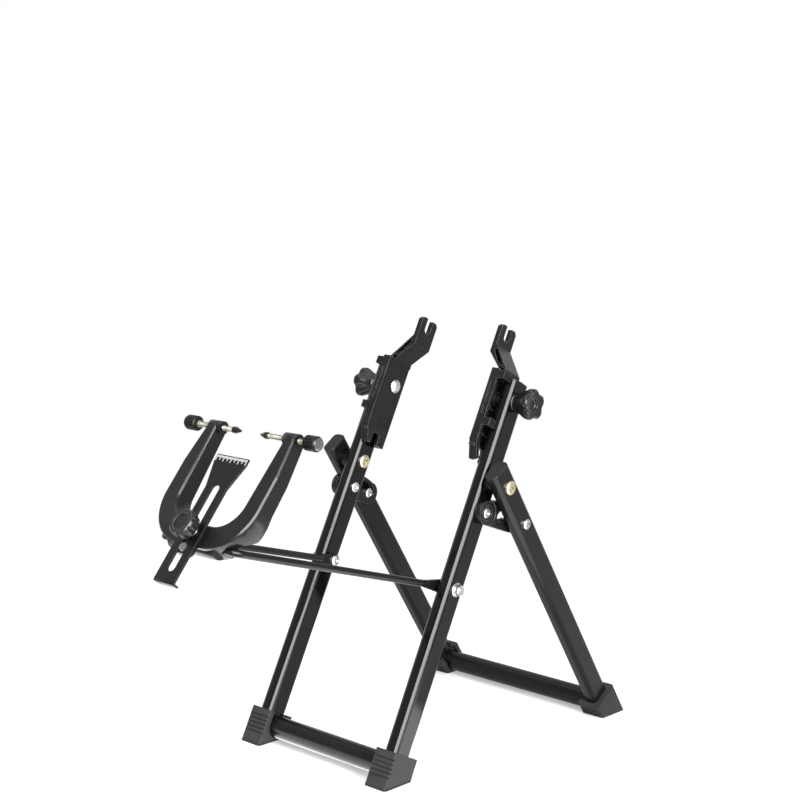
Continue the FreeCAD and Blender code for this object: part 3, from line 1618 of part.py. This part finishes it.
gauge_plate = make_gauge_plate()
in_gauge_frame(gauge_plate)
keep(gauge_plate)


def at_stud(body):
    """Gauge frame moved up to the stud's axis."""
    side = s.gauge_tilt
    place(
        body, 0, rod_y + s.stud_height * sine(side), rod_z + s.stud_height * cosine(side), (-1, 0, 0), side
    )


washer_front = plate_front - s.plate_washer_thick
star_grip = washer_front - s.star_neck_length
star_end = star_grip - s.star_length

plate_disc = new_body("plate_washer")
disc_rings = [Circle(0, 0, s.plate_washer / 2), Circle(0, 0, s.stud_diameter / 2 + s.snug_fit)]
pad(plate_disc, "XZ_Plane", disc_rings, s.plate_washer_thick, at=-plate_front)
at_stud(plate_disc)
keep(plate_disc)

stud = new_body("plate_stud")
stud_back = face_y + stud_depth - s.loose_fit
stud_front = star_grip - s.star_length / 2
pad(stud, "XZ_Plane", [Circle(0, 0, s.stud_diameter / 2)], stud_back - stud_front, at=-stud_back)
at_stud(stud)
keep(stud)


def make_star_knob():
    """Clamp knob with a scalloped rim round a shallow dish."""
    body = new_body("plate_knob")
    grip, neck = s.star_diameter / 2, s.star_neck / 2
    bore = s.stud_diameter / 2
    bend = s.star_round
    outline = [
        (0, star_end),
        (grip - bend, star_end),
        (grip, star_end + bend),
        (grip, star_grip - bend),
        (grip - bend, star_grip),
        (neck, star_grip),
        (neck, washer_front),
        (bore, washer_front),
        (bore, stud_front),
        (0, stud_front),
    ]
    turn(body, "XY_Plane", outline, "V_Axis")
    dish = [Circle(0, 0, s.star_dish / 2)]
    pocket(body, "XZ_Plane", dish, s.star_dish_depth, at=-star_end)
    hollow = Circle(0, s.star_waist / 2 + s.star_scallop, s.star_scallop)
    scallop = pocket(body, "XZ_Plane", [hollow], s.star_length, at=-star_end)
    repeat_round(body, scallop, "Y_Axis", s.star_lobes)
    return body


star_knob = make_star_knob()
at_stud(star_knob)
keep(star_knob)


# ---------------------------------------------------------------- checks and export

def check_everything():
    for thing in document.Objects:
        if "Invalid" in thing.State or "Error" in thing.State:
            raise RuntimeError(f"{thing.Label} did not compute: {thing.State}")
    for piece in finished:
        if piece.Shape.isNull() or not piece.Shape.isValid():
            raise RuntimeError(f"{piece.Label} has no valid shape")


def centre_on_origin():
    """Moves the hub axis so that the stand's outline is centred on the row's origin."""
    boxes = [piece.Shape.optimalBoundingBox(False, False) for piece in finished]
    middle = (min(box.YMin for box in boxes) + max(box.YMax for box in boxes)) / 2
    sheet.set(sheet.getCellFromAlias("hub_back"), repr(round(-middle, 4)))
    document.recompute()


centre_on_origin()
check_everything()
os.makedirs("parts", exist_ok=True)
for piece in finished:
    piece.Shape.exportStep(os.path.join("parts", f"{piece.Label}.step"))
print(f"{len(finished)} sub-parts, link ratio {link_ratio.value:.4f}, hub_back {sheet.get('hub_back')}")
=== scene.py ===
import json
import math

import bmesh
import bpy
from mathutils import Matrix, Vector


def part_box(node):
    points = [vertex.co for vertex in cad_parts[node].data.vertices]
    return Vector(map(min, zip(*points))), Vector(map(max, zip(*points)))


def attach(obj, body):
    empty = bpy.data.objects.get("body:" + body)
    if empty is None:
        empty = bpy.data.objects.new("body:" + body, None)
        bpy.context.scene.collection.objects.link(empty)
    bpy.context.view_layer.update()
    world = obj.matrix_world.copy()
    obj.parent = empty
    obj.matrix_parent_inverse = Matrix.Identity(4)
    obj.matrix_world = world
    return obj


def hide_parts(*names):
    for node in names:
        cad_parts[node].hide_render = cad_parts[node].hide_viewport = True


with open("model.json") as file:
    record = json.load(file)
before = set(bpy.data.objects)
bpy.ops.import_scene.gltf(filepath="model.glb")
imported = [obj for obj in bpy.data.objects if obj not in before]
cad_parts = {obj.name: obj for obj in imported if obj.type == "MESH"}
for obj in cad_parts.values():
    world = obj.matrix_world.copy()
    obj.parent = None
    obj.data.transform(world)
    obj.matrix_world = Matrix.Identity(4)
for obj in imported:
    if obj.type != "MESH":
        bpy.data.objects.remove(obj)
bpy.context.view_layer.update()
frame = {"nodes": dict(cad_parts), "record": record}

MM = 0.001
nodes = frame["nodes"]


# ---------------------------------------------------------------- the stand's own places

LEAN = math.radians(25.5)
GAUGE_TILT = math.radians(38.1)
# From the hub axis down the uprights to the fold pivot and to the bolts that clamp the holders.
FOLD_DROP = 153.0
CLAMP_DROP = 66.7

joints = {joint["name"]: joint for joint in frame["record"]["behaviour"]["joints"]}
fold_pivot = Vector(joints["rear_fold"]["pos_m"]) / MM
cross_rod = Vector(joints["caliper_tilt"]["pos_m"]) / MM


def up_the_lean(start, rise):
    """The point of the middle plane that lies so far up the lean of the uprights."""
    return Vector((0, start.y + rise * math.sin(LEAN), start.z + rise * math.cos(LEAN)))


hub = up_the_lean(fold_pivot, FOLD_DROP)


def gauge_frame():
    """Millimetres on the cross rod, Z up along the gauge plate, to metres in the row."""
    middle = Matrix.Translation((0, cross_rod.y, cross_rod.z))
    return Matrix.Scale(MM, 4) @ middle @ Matrix.Rotation(-GAUGE_TILT, 4, "X")


def clamp_frame(turn):
    """Millimetres on the clamp bolt's axis, X outwards, to metres in the row."""
    middle = Matrix.Translation(up_the_lean(hub, -CLAMP_DROP))
    return Matrix.Scale(MM, 4) @ middle @ Matrix.Rotation(turn, 4, "Z")


# ---------------------------------------------------------------- camera

CAMERA_FROM_HUB = Vector((1001.7, -1253.8, 132.6))
CAMERA_AZIMUTH = math.radians(40.94)
CAMERA_ELEVATION = math.radians(7.26)
CAMERA_ROLL = math.radians(1.89)
FOCAL_PIXELS = 1542.4
PICTURE_PIXELS = 800
SENSOR = 36.0


def make_camera():
    sight = Vector((
        -math.sin(CAMERA_AZIMUTH) * math.cos(CAMERA_ELEVATION),
        math.cos(CAMERA_AZIMUTH) * math.cos(CAMERA_ELEVATION),
        -math.sin(CAMERA_ELEVATION),
    ))
    level = Vector((math.cos(CAMERA_AZIMUTH), math.sin(CAMERA_AZIMUTH), 0))
    upright = level.cross(sight)
    right = level * math.cos(CAMERA_ROLL) + upright * math.sin(CAMERA_ROLL)
    up = upright * math.cos(CAMERA_ROLL) - level * math.sin(CAMERA_ROLL)
    data = bpy.data.cameras.new("camera")
    data.sensor_width = SENSOR
    data.lens = SENSOR * FOCAL_PIXELS / PICTURE_PIXELS
    camera = bpy.data.objects.new("camera", data)
    bpy.context.scene.collection.objects.link(camera)
    turn = Matrix((right, up, -sight)).transposed().to_4x4()
    camera.matrix_world = Matrix.Translation((hub + CAMERA_FROM_HUB) * MM) @ turn
    bpy.context.scene.camera = camera


make_camera()
bpy.context.scene.view_settings.view_transform = "Standard"


# ---------------------------------------------------------------- lamps

STAND_MIDDLE = Vector((0.0, 0.0, 0.22))
FLOOR_CARD_TURN = math.radians(29)


def make_lamp(name, spot, width, height, power, for_gloss_only=False):
    """A rectangular lamp that faces the middle of the stand."""
    data = bpy.data.lights.new(name, "AREA")
    data.shape = "RECTANGLE"
    data.size = width
    data.size_y = height
    data.energy = power
    lamp = bpy.data.objects.new(name, data)
    bpy.context.scene.collection.objects.link(lamp)
    lamp.location = spot
    lamp.rotation_euler = (STAND_MIDDLE - Vector(spot)).to_track_quat("-Z", "Y").to_euler()
    lamp.visible_camera = False
    lamp.visible_diffuse = not for_gloss_only
    return lamp


make_lamp("side_softbox", (1.9, -0.35, 0.75), width=0.9, height=1.4, power=54)
make_lamp("strip_by_camera", (0.95, -1.75, 0.95), width=0.16, height=1.5, power=10)
make_lamp("overhead", (-0.3, -0.3, 2.2), width=1.6, height=1.6, power=22)
make_lamp("left_fill", (-1.9, -0.5, 0.7), width=0.8, height=1.2, power=8)
# A large white card: bevels and round edges mirror it as thin bright lines.
make_lamp("edge_card", (1.40, -1.40, 1.12), width=2.1, height=1.9, power=350, for_gloss_only=True)
# A long card on the floor, facing up: the casting's outer side mirrors it softly.
floor_card = make_lamp(
    "floor_card", (0.20, -0.07, 0.002), width=1.0, height=0.30, power=4.2, for_gloss_only=True
)
floor_card.rotation_euler = (math.pi, 0, FLOOR_CARD_TURN)


# ---------------------------------------------------------------- shader nodes

def linked(tree, kind, settings=(), **inputs):
    """A shader node with its settings and its numbered or named inputs; returns its outputs."""
    node = tree.nodes.new("ShaderNode" + kind)
    for name, value in dict(settings).items():
        setattr(node, name, value)
    for name, value in inputs.items():
        number = name[1:]
        socket = node.inputs[int(number) if number.isdigit() else name.replace("_", " ")]
        if isinstance(value, bpy.types.NodeSocket):
            tree.links.new(value, socket)
        else:
            socket.default_value = value
    return node.outputs


def product(tree, first, second):
    return linked(tree, "Math", {"operation": "MULTIPLY"}, _0=first, _1=second)[0]


def seen_directly(tree):
    """One for camera, mirror and glass rays."""
    path = linked(tree, "LightPath")
    seen = path["Is Camera Ray"]
    for name in ("Is Glossy Ray", "Is Transmission Ray"):
        seen = linked(tree, "Math", {"operation": "MAXIMUM"}, _0=seen, _1=path[name])[0]
    return seen


def grey(level):
    return (level, level, level, 1.0)


def tinted(red, green, blue):
    return (red, green, blue, 1.0)


# ---------------------------------------------------------------- room and floor

WHITE = grey(1.0)
# Strength of the white room: what it lights pieces with, and what is seen of it.
ROOM_LIGHT = 0.55
ROOM_SEEN = 1.0
# Reach of the floor, and where it fades into the room, in metres from the stand.
FLOOR_REACH = 12
NEAR_FLOOR = 0.5
FAR_FLOOR = 1.5
FLOOR_GLOW = 0.3
FLOOR_COLOUR = grey(0.8)


def make_room():
    world = bpy.data.worlds.new("studio")
    bpy.context.scene.world = world
    world.use_nodes = True
    tree = world.node_tree
    background = tree.nodes["Background"]
    strength = linked(
        tree, "Mix", {"data_type": "FLOAT"}, _0=seen_directly(tree), _2=ROOM_LIGHT, _3=ROOM_SEEN
    )[0]
    tree.links.new(strength, background.inputs["Strength"])
    background.inputs["Color"].default_value = WHITE


def make_floor():
    """White board: it keeps the stand's shadow and fades into the room further off."""
    mesh = bpy.data.meshes.new("floor")
    form = bmesh.new()
    bmesh.ops.create_grid(form, x_segments=1, y_segments=1, size=FLOOR_REACH)
    form.to_mesh(mesh)
    form.free()
    floor = bpy.data.objects.new("floor", mesh)
    bpy.context.scene.collection.objects.link(floor)
    material = bpy.data.materials.new("pale_floor")
    material.use_nodes = True
    tree = material.node_tree
    tree.nodes.clear()
    seen = seen_directly(tree)
    board = linked(tree, "BsdfDiffuse", Color=FLOOR_COLOUR)[0]
    glow = linked(tree, "Emission", Color=WHITE, Strength=product(tree, seen, FLOOR_GLOW))[0]
    near = linked(tree, "AddShader", _0=board, _1=glow)[0]
    place = linked(tree, "TexCoord")["Object"]
    distance = linked(tree, "VectorMath", {"operation": "LENGTH"}, _0=place)["Value"]
    fade = linked(tree, "MapRange", Value=distance, From_Min=NEAR_FLOOR, From_Max=FAR_FLOOR)[0]
    far = linked(tree, "Emission", Color=WHITE, Strength=ROOM_SEEN)[0]
    both = linked(tree, "MixShader", _0=product(tree, fade, seen), _1=near, _2=far)[0]
    linked(tree, "OutputMaterial", Surface=both)
    mesh.materials.append(material)


make_room()
make_floor()


# ---------------------------------------------------------------- finishes

BEVEL_SAMPLES = 6
TURNING_DEPTH = 20e-6


class Finish:
    """A Principled material with its nodes on Object coordinates."""

    def __init__(self, name, **sockets):
        self.material = bpy.data.materials.new(name)
        self.material.use_nodes = True
        self.tree = self.material.node_tree
        self.shader = self.tree.nodes["Principled BSDF"]
        self.place = self.add("TexCoord")["Object"]
        for socket, value in sockets.items():
            self.shader.inputs[socket.replace("_", " ")].default_value = value

    def add(self, kind, settings=(), **inputs):
        return linked(self.tree, kind, settings, **inputs)

    def noise(self, scale, detail, stretch=None):
        """Noise from 0 to 1; scale counts its features per metre."""
        place = self.place
        if stretch:
            place = self.add("Mapping", Vector=place, Scale=stretch)["Vector"]
        return self.add("TexNoise", Vector=place, Scale=scale, Detail=detail)[0]

    def ramp(self, value, low, high, result_low=0.0, result_high=1.0):
        return self.add(
            "MapRange", Value=value, From_Min=low, From_Max=high,
            To_Min=result_low, To_Max=result_high,
        )[0]

    def mixed(self, share, first, second):
        """Colour between two colours."""
        return self.add("Mix", {"data_type": "RGBA"}, _0=share, _6=first, _7=second)[2]

    def edges(self, radius, low, high):
        """Zero on flat faces and one on edges, from how far the rounded normal turns away."""
        rounded = self.add("Bevel", {"samples": BEVEL_SAMPLES}, Radius=radius)[0]
        plain = self.add("NewGeometry")["Normal"]
        flat = self.add("VectorMath", {"operation": "DOT_PRODUCT"}, _0=rounded, _1=plain)["Value"]
        return self.ramp(flat, low, high)

    def use(self, socket, value):
        self.tree.links.new(value, self.shader.inputs[socket])

    def bump(self, height, distance):
        self.use("Normal", self.add("Bump", Height=height, Distance=distance)["Normal"])


def coated_steel(name, colour, worn_and_glint, roughness, grain_depth, shine):
    """Powder coat: faint orange peel, uneven sheen, pale edge colour in patches: thin wear where
    edges rub, and on the sheet coat a painted highlight along the edges.
    """
    finish = Finish(name, Specular_IOR_Level=shine)
    sheen = finish.noise(scale=35.0, detail=4.0)
    peel = finish.noise(scale=900.0, detail=2.0)
    scuff_and_glint_patches = finish.ramp(finish.noise(scale=240.0, detail=5.0), 0.55, 0.75)
    wear_and_glint = product(finish.tree, scuff_and_glint_patches, finish.edges(0.8 * MM, 0.97, 0.80))
    # Pale edge colour in patches: wear on most coats; on the gauge plate's coat it is a painted
    # highlight along its edges.
    finish.use("Base Color", finish.mixed(wear_and_glint, colour, worn_and_glint))
    finish.use("Roughness", finish.ramp(sheen, 0.3, 0.7, roughness - 0.04, roughness + 0.05))
    finish.bump(peel, grain_depth)
    return finish.material


def moulded(name, colour, lighter, roughness, grain_scale, grain_depth, shine=0.14, rubbed_and_glint=None):
    """Moulded plastic: spark-eroded grain, faint flow marks, paler edges that are partly wear where
    hands rub it and partly a painted highlight along the edges.
    """
    finish = Finish(name, Specular_IOR_Level=shine)
    flow = finish.noise(scale=60.0, detail=5.0)
    grain = finish.noise(scale=grain_scale, detail=2.0)
    skin = finish.mixed(finish.ramp(flow, 0.35, 0.75), colour, lighter)
    # Pale patches on the edges: partly wear where hands rub, partly a painted highlight that
    # outlines the edges.
    if rubbed_and_glint:
        rub_and_glint_patches = finish.ramp(finish.noise(scale=90.0, detail=2.0), 0.25, 0.50, 0.35, 1.0)
        share = product(finish.tree, rub_and_glint_patches, finish.edges(0.6 * MM, 0.985, 0.86))
        skin = finish.mixed(share, skin, rubbed_and_glint)
    finish.use("Base Color", skin)
    finish.use("Roughness", finish.ramp(flow, 0.3, 0.7, roughness - 0.05, roughness + 0.06))
    finish.bump(grain, grain_depth)
    return finish.material


def plated(name, colour, deeper, roughness, brushed=None):
    """Plated or turned metal: cloudy passivate and fine turning marks."""
    finish = Finish(name, Metallic=1.0)
    cloud = finish.noise(scale=140.0, detail=4.0)
    marks = finish.noise(scale=2400.0, detail=2.0, stretch=brushed)
    finish.use("Base Color", finish.mixed(finish.ramp(cloud, 0.35, 0.7), colour, deeper))
    finish.use("Roughness", finish.ramp(cloud, 0.3, 0.75, roughness, roughness + 0.14))
    finish.bump(marks, TURNING_DEPTH)
    return finish.material


# Grain scales count features per metre, and grain depths are in metres.
gloss_black = coated_steel(
    "gloss_black_enamel", grey(0.003), worn_and_glint=grey(0.05), roughness=0.10, grain_depth=2e-6, shine=0.17
)
satin_black = coated_steel(
    "satin_black_enamel", grey(0.006), worn_and_glint=grey(0.05), roughness=0.24, grain_depth=8e-6, shine=0.14
)
# The plate coat's pale edge colour is a painted highlight along the sheet's edges.
plate_black = coated_steel(
    "black_sheet_coat", grey(0.005), worn_and_glint=grey(0.20), roughness=0.34, grain_depth=10e-6, shine=0.12
)
cast_black = coated_steel(
    "cast_black_coat", grey(0.008), worn_and_glint=grey(0.10), roughness=0.22, grain_depth=6e-6, shine=0.18
)
# Pale edge colour: partly rub wear, partly a painted highlight outlining the edges of holders and
# links.
holder_black = moulded(
    "holder_black_plastic", grey(0.006), grey(0.010), roughness=0.30,
    grain_scale=1600.0, grain_depth=20e-6, rubbed_and_glint=grey(0.22),
)
# Pale edge colour: partly rub wear, partly a painted highlight along the rims of the knobs and
# tips.
knob_black = moulded(
    "knob_black_plastic", grey(0.006), grey(0.010), roughness=0.27,
    grain_scale=1400.0, grain_depth=10e-6, shine=0.22, rubbed_and_glint=grey(0.30),
)
knurl_black = moulded(
    "knurled_black_plastic", grey(0.006), grey(0.010), roughness=0.42,
    grain_scale=1800.0, grain_depth=30e-6, shine=0.12,
)
cap_grey = moulded(
    "gauge_cap_plastic", grey(0.06), grey(0.09), roughness=0.20,
    grain_scale=900.0, grain_depth=20e-6, shine=0.5,
)
plug_black = moulded(
    "plug_black_plastic", grey(0.008), grey(0.012), roughness=0.42,
    grain_scale=1500.0, grain_depth=40e-6,
)
foot_rubber = moulded(
    "foot_rubber", grey(0.018), grey(0.027), roughness=0.70, grain_scale=1100.0, grain_depth=120e-6
)
washer_plastic = moulded(
    "washer_plastic", grey(0.03), grey(0.04), roughness=0.5, grain_scale=1500.0, grain_depth=30e-6
)
scale_white = moulded(
    "scale_print", grey(0.44), grey(0.52), roughness=0.55, grain_scale=1200.0, grain_depth=10e-6
)
zinc = plated("bright_zinc", tinted(0.44, 0.45, 0.46), tinted(0.28, 0.29, 0.31), roughness=0.26)
yellow_zinc = plated(
    "yellow_zinc", tinted(0.50, 0.46, 0.33), tinted(0.34, 0.32, 0.22), roughness=0.28
)
screw_steel = plated(
    "screw_steel", tinted(0.17, 0.16, 0.135), tinted(0.10, 0.095, 0.08), roughness=0.46,
    brushed=(30.0, 1.0, 1.0),
)
pin_steel = plated("pin_steel", grey(0.13), grey(0.09), roughness=0.5)

FINISHES = {
    gloss_black: ("right_upright", "left_upright"),
    satin_black: (
        "right_rear_leg", "left_rear_leg", "front_crossbar", "rear_crossbar", "caliper_arm",
        "pivot_spacers",
    ),
    plate_black: ("gauge_plate",),
    cast_black: ("caliper_body",),
    holder_black: ("right_hub_holder", "left_hub_holder", "right_link", "left_link"),
    knob_black: (
        "right_holder_knob", "left_holder_knob", "plate_knob", "right_gauge_tip", "left_gauge_tip",
    ),
    knurl_black: ("right_gauge_knob", "left_gauge_knob"),
    plug_black: ("upright_plugs", "leg_plugs"),
    foot_rubber: ("right_front_foot", "left_front_foot", "right_rear_foot", "left_rear_foot"),
    washer_plastic: ("friction_washers",),
    zinc: (
        "holder_bolts", "holder_washers", "link_sleeves", "link_bolts", "slot_sleeves",
        "slot_bolts", "arm_pivot_bolts", "arm_pivot_nuts", "arm_pivot_washers", "plate_stud",
        "plate_washer",
    ),
    yellow_zinc: ("pivot_sleeves", "pivot_bolts"),
    screw_steel: ("right_gauge_screw", "left_gauge_screw"),
    pin_steel: ("plate_guide_pin",),
}

for material, names in FINISHES.items():
    for name in names:
        piece = nodes[name]
        piece.data.materials.clear()
        piece.data.materials.append(material)


# ---------------------------------------------------------------- edges of the carried pieces

SAME_POINT = 1e-6
FLAT_WITHIN = math.radians(0.4)
SHARP_FROM = math.radians(32.0)

# Width of the rounding, in millimetres.
EDGE_WIDTHS = {
    0.7: ("caliper_body",),
    0.6: ("right_front_foot", "left_front_foot", "right_rear_foot", "left_rear_foot"),
    0.5: ("right_hub_holder", "left_hub_holder", "right_link", "left_link"),
    0.45: ("plate_knob",),
    0.3: (
        "gauge_plate", "holder_washers", "arm_pivot_nuts", "arm_pivot_washers", "plate_washer",
        "friction_washers",
    ),
}


def soften(piece, width, segments=2):
    """Rounds the sharp edges of a piece, so that they catch the light."""
    weld = piece.modifiers.new("weld", "WELD")
    weld.merge_threshold = SAME_POINT
    flat = piece.modifiers.new("flat_faces", "DECIMATE")
    flat.decimate_type = "DISSOLVE"
    flat.angle_limit = FLAT_WITHIN
    bevel = piece.modifiers.new("soft_edges", "BEVEL")
    bevel.width = width
    bevel.segments = segments
    bevel.limit_method = "ANGLE"
    bevel.angle_limit = SHARP_FROM
    bevel.harden_normals = True


for width, names in EDGE_WIDTHS.items():
    for name in names:
        soften(nodes[name], width * MM)


# ---------------------------------------------------------------- new pieces

# Points of a form that lie closer than this many millimetres become one.
JOIN_WITHIN = 0.002
CORNER_FROM = math.radians(35)
THREAD_STEPS = 14


def place_piece(form, name, body, material, place, stands_for=()):
    """Sets a form in the row as a piece: closed, normals out, smooth but for its corners."""
    bmesh.ops.remove_doubles(form, verts=form.verts, dist=JOIN_WITHIN)
    bmesh.ops.recalc_face_normals(form, faces=form.faces)
    bmesh.ops.transform(form, matrix=place, verts=form.verts)
    for face in form.faces:
        face.smooth = True
    for edge in form.edges:
        edge.smooth = edge.calc_face_angle(math.pi) < CORNER_FROM
    mesh = bpy.data.meshes.new(name)
    form.to_mesh(mesh)
    form.free()
    mesh.materials.append(material)
    piece = bpy.data.objects.new(name, mesh)
    bpy.context.scene.collection.objects.link(piece)
    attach(piece, body)
    if stands_for:
        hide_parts(*stands_for)
    return piece


def draw_outline(form, outline):
    """Joins (along, radius) points into one line beside the X axis."""
    corners = [form.verts.new((along, 0, radius)) for along, radius in outline]
    return corners + [form.edges.new(pair) for pair in zip(corners, corners[1:])]


def spin_outline(form, outline, steps=36):
    """Turns an outline of (along, radius) points round the X axis."""
    bmesh.ops.spin(
        form, geom=draw_outline(form, outline), cent=(0, 0, 0), axis=(1, 0, 0),
        angle=math.tau, steps=steps, use_merge=True,
    )


def cut_thread(form, start, end, crest, root, pitch):
    """Runs one thread profile along the X axis in a helix and closes both ends."""
    profile = ((0.0, root), (0.12, root), (0.46, crest), (0.66, crest), (1.0, root))
    outline = draw_outline(form, [(start + share * pitch, radius) for share, radius in profile])
    turns = int((end - start) / pitch) - 1
    bmesh.ops.spin(
        form, geom=outline, cent=(0, 0, 0), axis=(1, 0, 0), dvec=(pitch / THREAD_STEPS, 0, 0),
        angle=math.tau * turns, steps=THREAD_STEPS * turns, use_merge=False,
    )
    bmesh.ops.remove_doubles(form, verts=form.verts, dist=JOIN_WITHIN)
    open_sides = [edge for edge in form.edges if edge.is_boundary]
    bmesh.ops.holes_fill(form, edges=open_sides, sides=0)


# ---------------------------------------------------------------- gauge screws and knob caps

SCREW_AXIS = (0, -5.3, 113.3)
GAUGE_REACH = 73.0
KNOB_LENGTH = 14.5
TIP_LENGTH = 10.0
THREAD_PITCH = 0.8
THREAD_CREST = 2.5
THREAD_ROOT = 2.08
# Each gauge's side, its tip's distance from the middle plane, and the turn that points it out.
GAUGES = (("right", 8.0, 0.0), ("left", 17.0, math.pi))


def make_gauge_screw(side, tip, place):
    """M5 screw: bare neck in the tip, thread, small collar and the end inside the knob."""
    seat = tip + TIP_LENGTH
    knob = tip + GAUGE_REACH - KNOB_LENGTH
    form = bmesh.new()
    spin_outline(form, [
        (seat - 5, 0), (seat - 5, 1.25), (seat, 1.25), (seat, 1.9), (seat + 0.6, 2.1),
        (knob - 3.2, 2.1), (knob - 3.2, 3.1), (knob - 2.9, 3.4), (knob - 0.3, 3.4), (knob, 3.1),
        (knob, 2.4), (knob + 7, 2.4), (knob + 7, 0),
    ])
    cut_thread(form, seat + 0.6, knob - 2.4, THREAD_CREST, THREAD_ROOT, THREAD_PITCH)
    screw = place_piece(
        form, f"{side}_threaded_screw", f"{side}_gauge", screw_steel, place, [f"{side}_gauge_screw"]
    )


def make_knob_cap(side, tip, place):
    """Domed cap pressed into the knob's end."""
    end = tip + GAUGE_REACH
    form = bmesh.new()
    spin_outline(form, [
        (end - 0.6, 0), (end - 0.6, 5.0), (end, 5.9), (end + 0.3, 5.7), (end + 0.8, 4.4),
        (end + 1.15, 2.3), (end + 1.25, 0),
    ])
    cap = place_piece(form, f"{side}_knob_cap", f"{side}_gauge_grip", cap_grey, place)


for side, tip, turn in GAUGES:
    place = gauge_frame() @ Matrix.Translation(SCREW_AXIS) @ Matrix.Rotation(turn, 4, "Z")
    make_gauge_screw(side, tip, place)
    make_knob_cap(side, tip, place)


# ---------------------------------------------------------------- hub holders' hand knobs

KNOB_STEPS = 100
BORE_RADIUS = 4.15
KNOB_LOBES = 5
LOBE_DEPTH = 0.19
LOBE_ROUNDNESS = 1.5
# The lobes grow along the flare, from its start, and outwards from the dish's inner radius.
FLARE_START = 1.5
FLARE_LENGTH = 10.5
DISH_INNER = 7.0
DISH_WIDTH = 5.0
knob_start, knob_end = (corner[0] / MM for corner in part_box("right_holder_knob"))
bolt_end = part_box("holder_bolts")[1][0] / MM


def clamped(share):
    return min(max(share, 0.0), 1.0)


def make_holder_knob(side, turn):
    """Cone from the washer that opens into a shallow dish with a rim of five soft lobes."""
    form = bmesh.new()
    bore_end = bolt_end + 0.2
    dish = bolt_end + 0.6
    bore = [(bore_end, 0), (bore_end, BORE_RADIUS), (knob_start, BORE_RADIUS)]
    spin_outline(form, bore, KNOB_STEPS)
    spin_outline(form, [
        (knob_start, BORE_RADIUS), (knob_start, 9.4), (knob_start + 0.7, 10.0),
        (knob_start + 2.1, 10.0), (knob_start + 5.1, 10.8), (knob_start + 8.7, 12.4),
        (knob_start + 12.3, 14.4), (knob_end - 7.3, 15.5), (knob_end - 6.0, 15.95),
        (knob_end - 2.1, 16.0), (knob_end - 1.0, 15.7), (knob_end - 0.3, 15.1),
        (knob_end, 14.2), (knob_end - 0.3, 13.3), (knob_end - 1.1, 10.0),
        (knob_end - 1.4, 6.9), (knob_end - 1.8, 6.1), (knob_end - 2.4, 5.8),
        (dish + 0.4, 5.6), (dish, 5.2), (dish, 0),
    ], KNOB_STEPS)
    for corner in form.verts:
        radius = math.hypot(corner.co.y, corner.co.z)
        along = clamped((corner.co.x - knob_start - FLARE_START) / FLARE_LENGTH)
        flare = along * clamped((radius - DISH_INNER) / DISH_WIDTH)
        wave = (1 - math.cos(KNOB_LOBES * math.atan2(corner.co.y, corner.co.z))) / 2
        shrink = 1 - LOBE_DEPTH * flare * wave ** LOBE_ROUNDNESS
        corner.co.y *= shrink
        corner.co.z *= shrink
    place = clamp_frame(turn)
    knob = place_piece(
        form, f"{side}_lobed_knob", f"{side}_clamp_knob", knob_black, place, [f"{side}_holder_knob"]
    )


make_holder_knob("right", 0.0)
make_holder_knob("left", math.pi)


# ---------------------------------------------------------------- scale on the gauge plate

PLATE_FACE = -14.0
PLATE_TOP = 83.0
PRINT_THICK = 0.12
PRINT_ROUNDING = 0.03
BAND_HALF = 20.0
BAND_TOP = PLATE_TOP - 1.1
BAND_LOW = PLATE_TOP - 3.4
MARKS_EACH_SIDE = 4
MARK_STEP = 4.8
MARK_HALF = 0.65
LONG_MARK = 3.4
SHORT_MARK = 2.3


def make_scale():
    """Printed band along the plate's top, with long and short marks that hang from it in turn."""
    form = bmesh.new()

    def bar(left, right, low, high):
        size = Matrix.Diagonal((right - left, PRINT_THICK, high - low, 1))
        middle = ((left + right) / 2, PLATE_FACE - PRINT_THICK / 2, (low + high) / 2)
        bmesh.ops.create_cube(form, size=1, matrix=Matrix.Translation(middle) @ size)

    bar(-BAND_HALF, BAND_HALF, BAND_LOW, BAND_TOP)
    for step in range(-MARKS_EACH_SIDE, MARKS_EACH_SIDE + 1):
        length = SHORT_MARK if step % 2 else LONG_MARK
        across = step * MARK_STEP
        bar(across - MARK_HALF, across + MARK_HALF, BAND_LOW - length, BAND_LOW)
    scale = place_piece(form, "plate_scale", "gauge_plate", scale_white, gauge_frame())
    soften(scale, PRINT_ROUNDING * MM, segments=1)


make_scale()
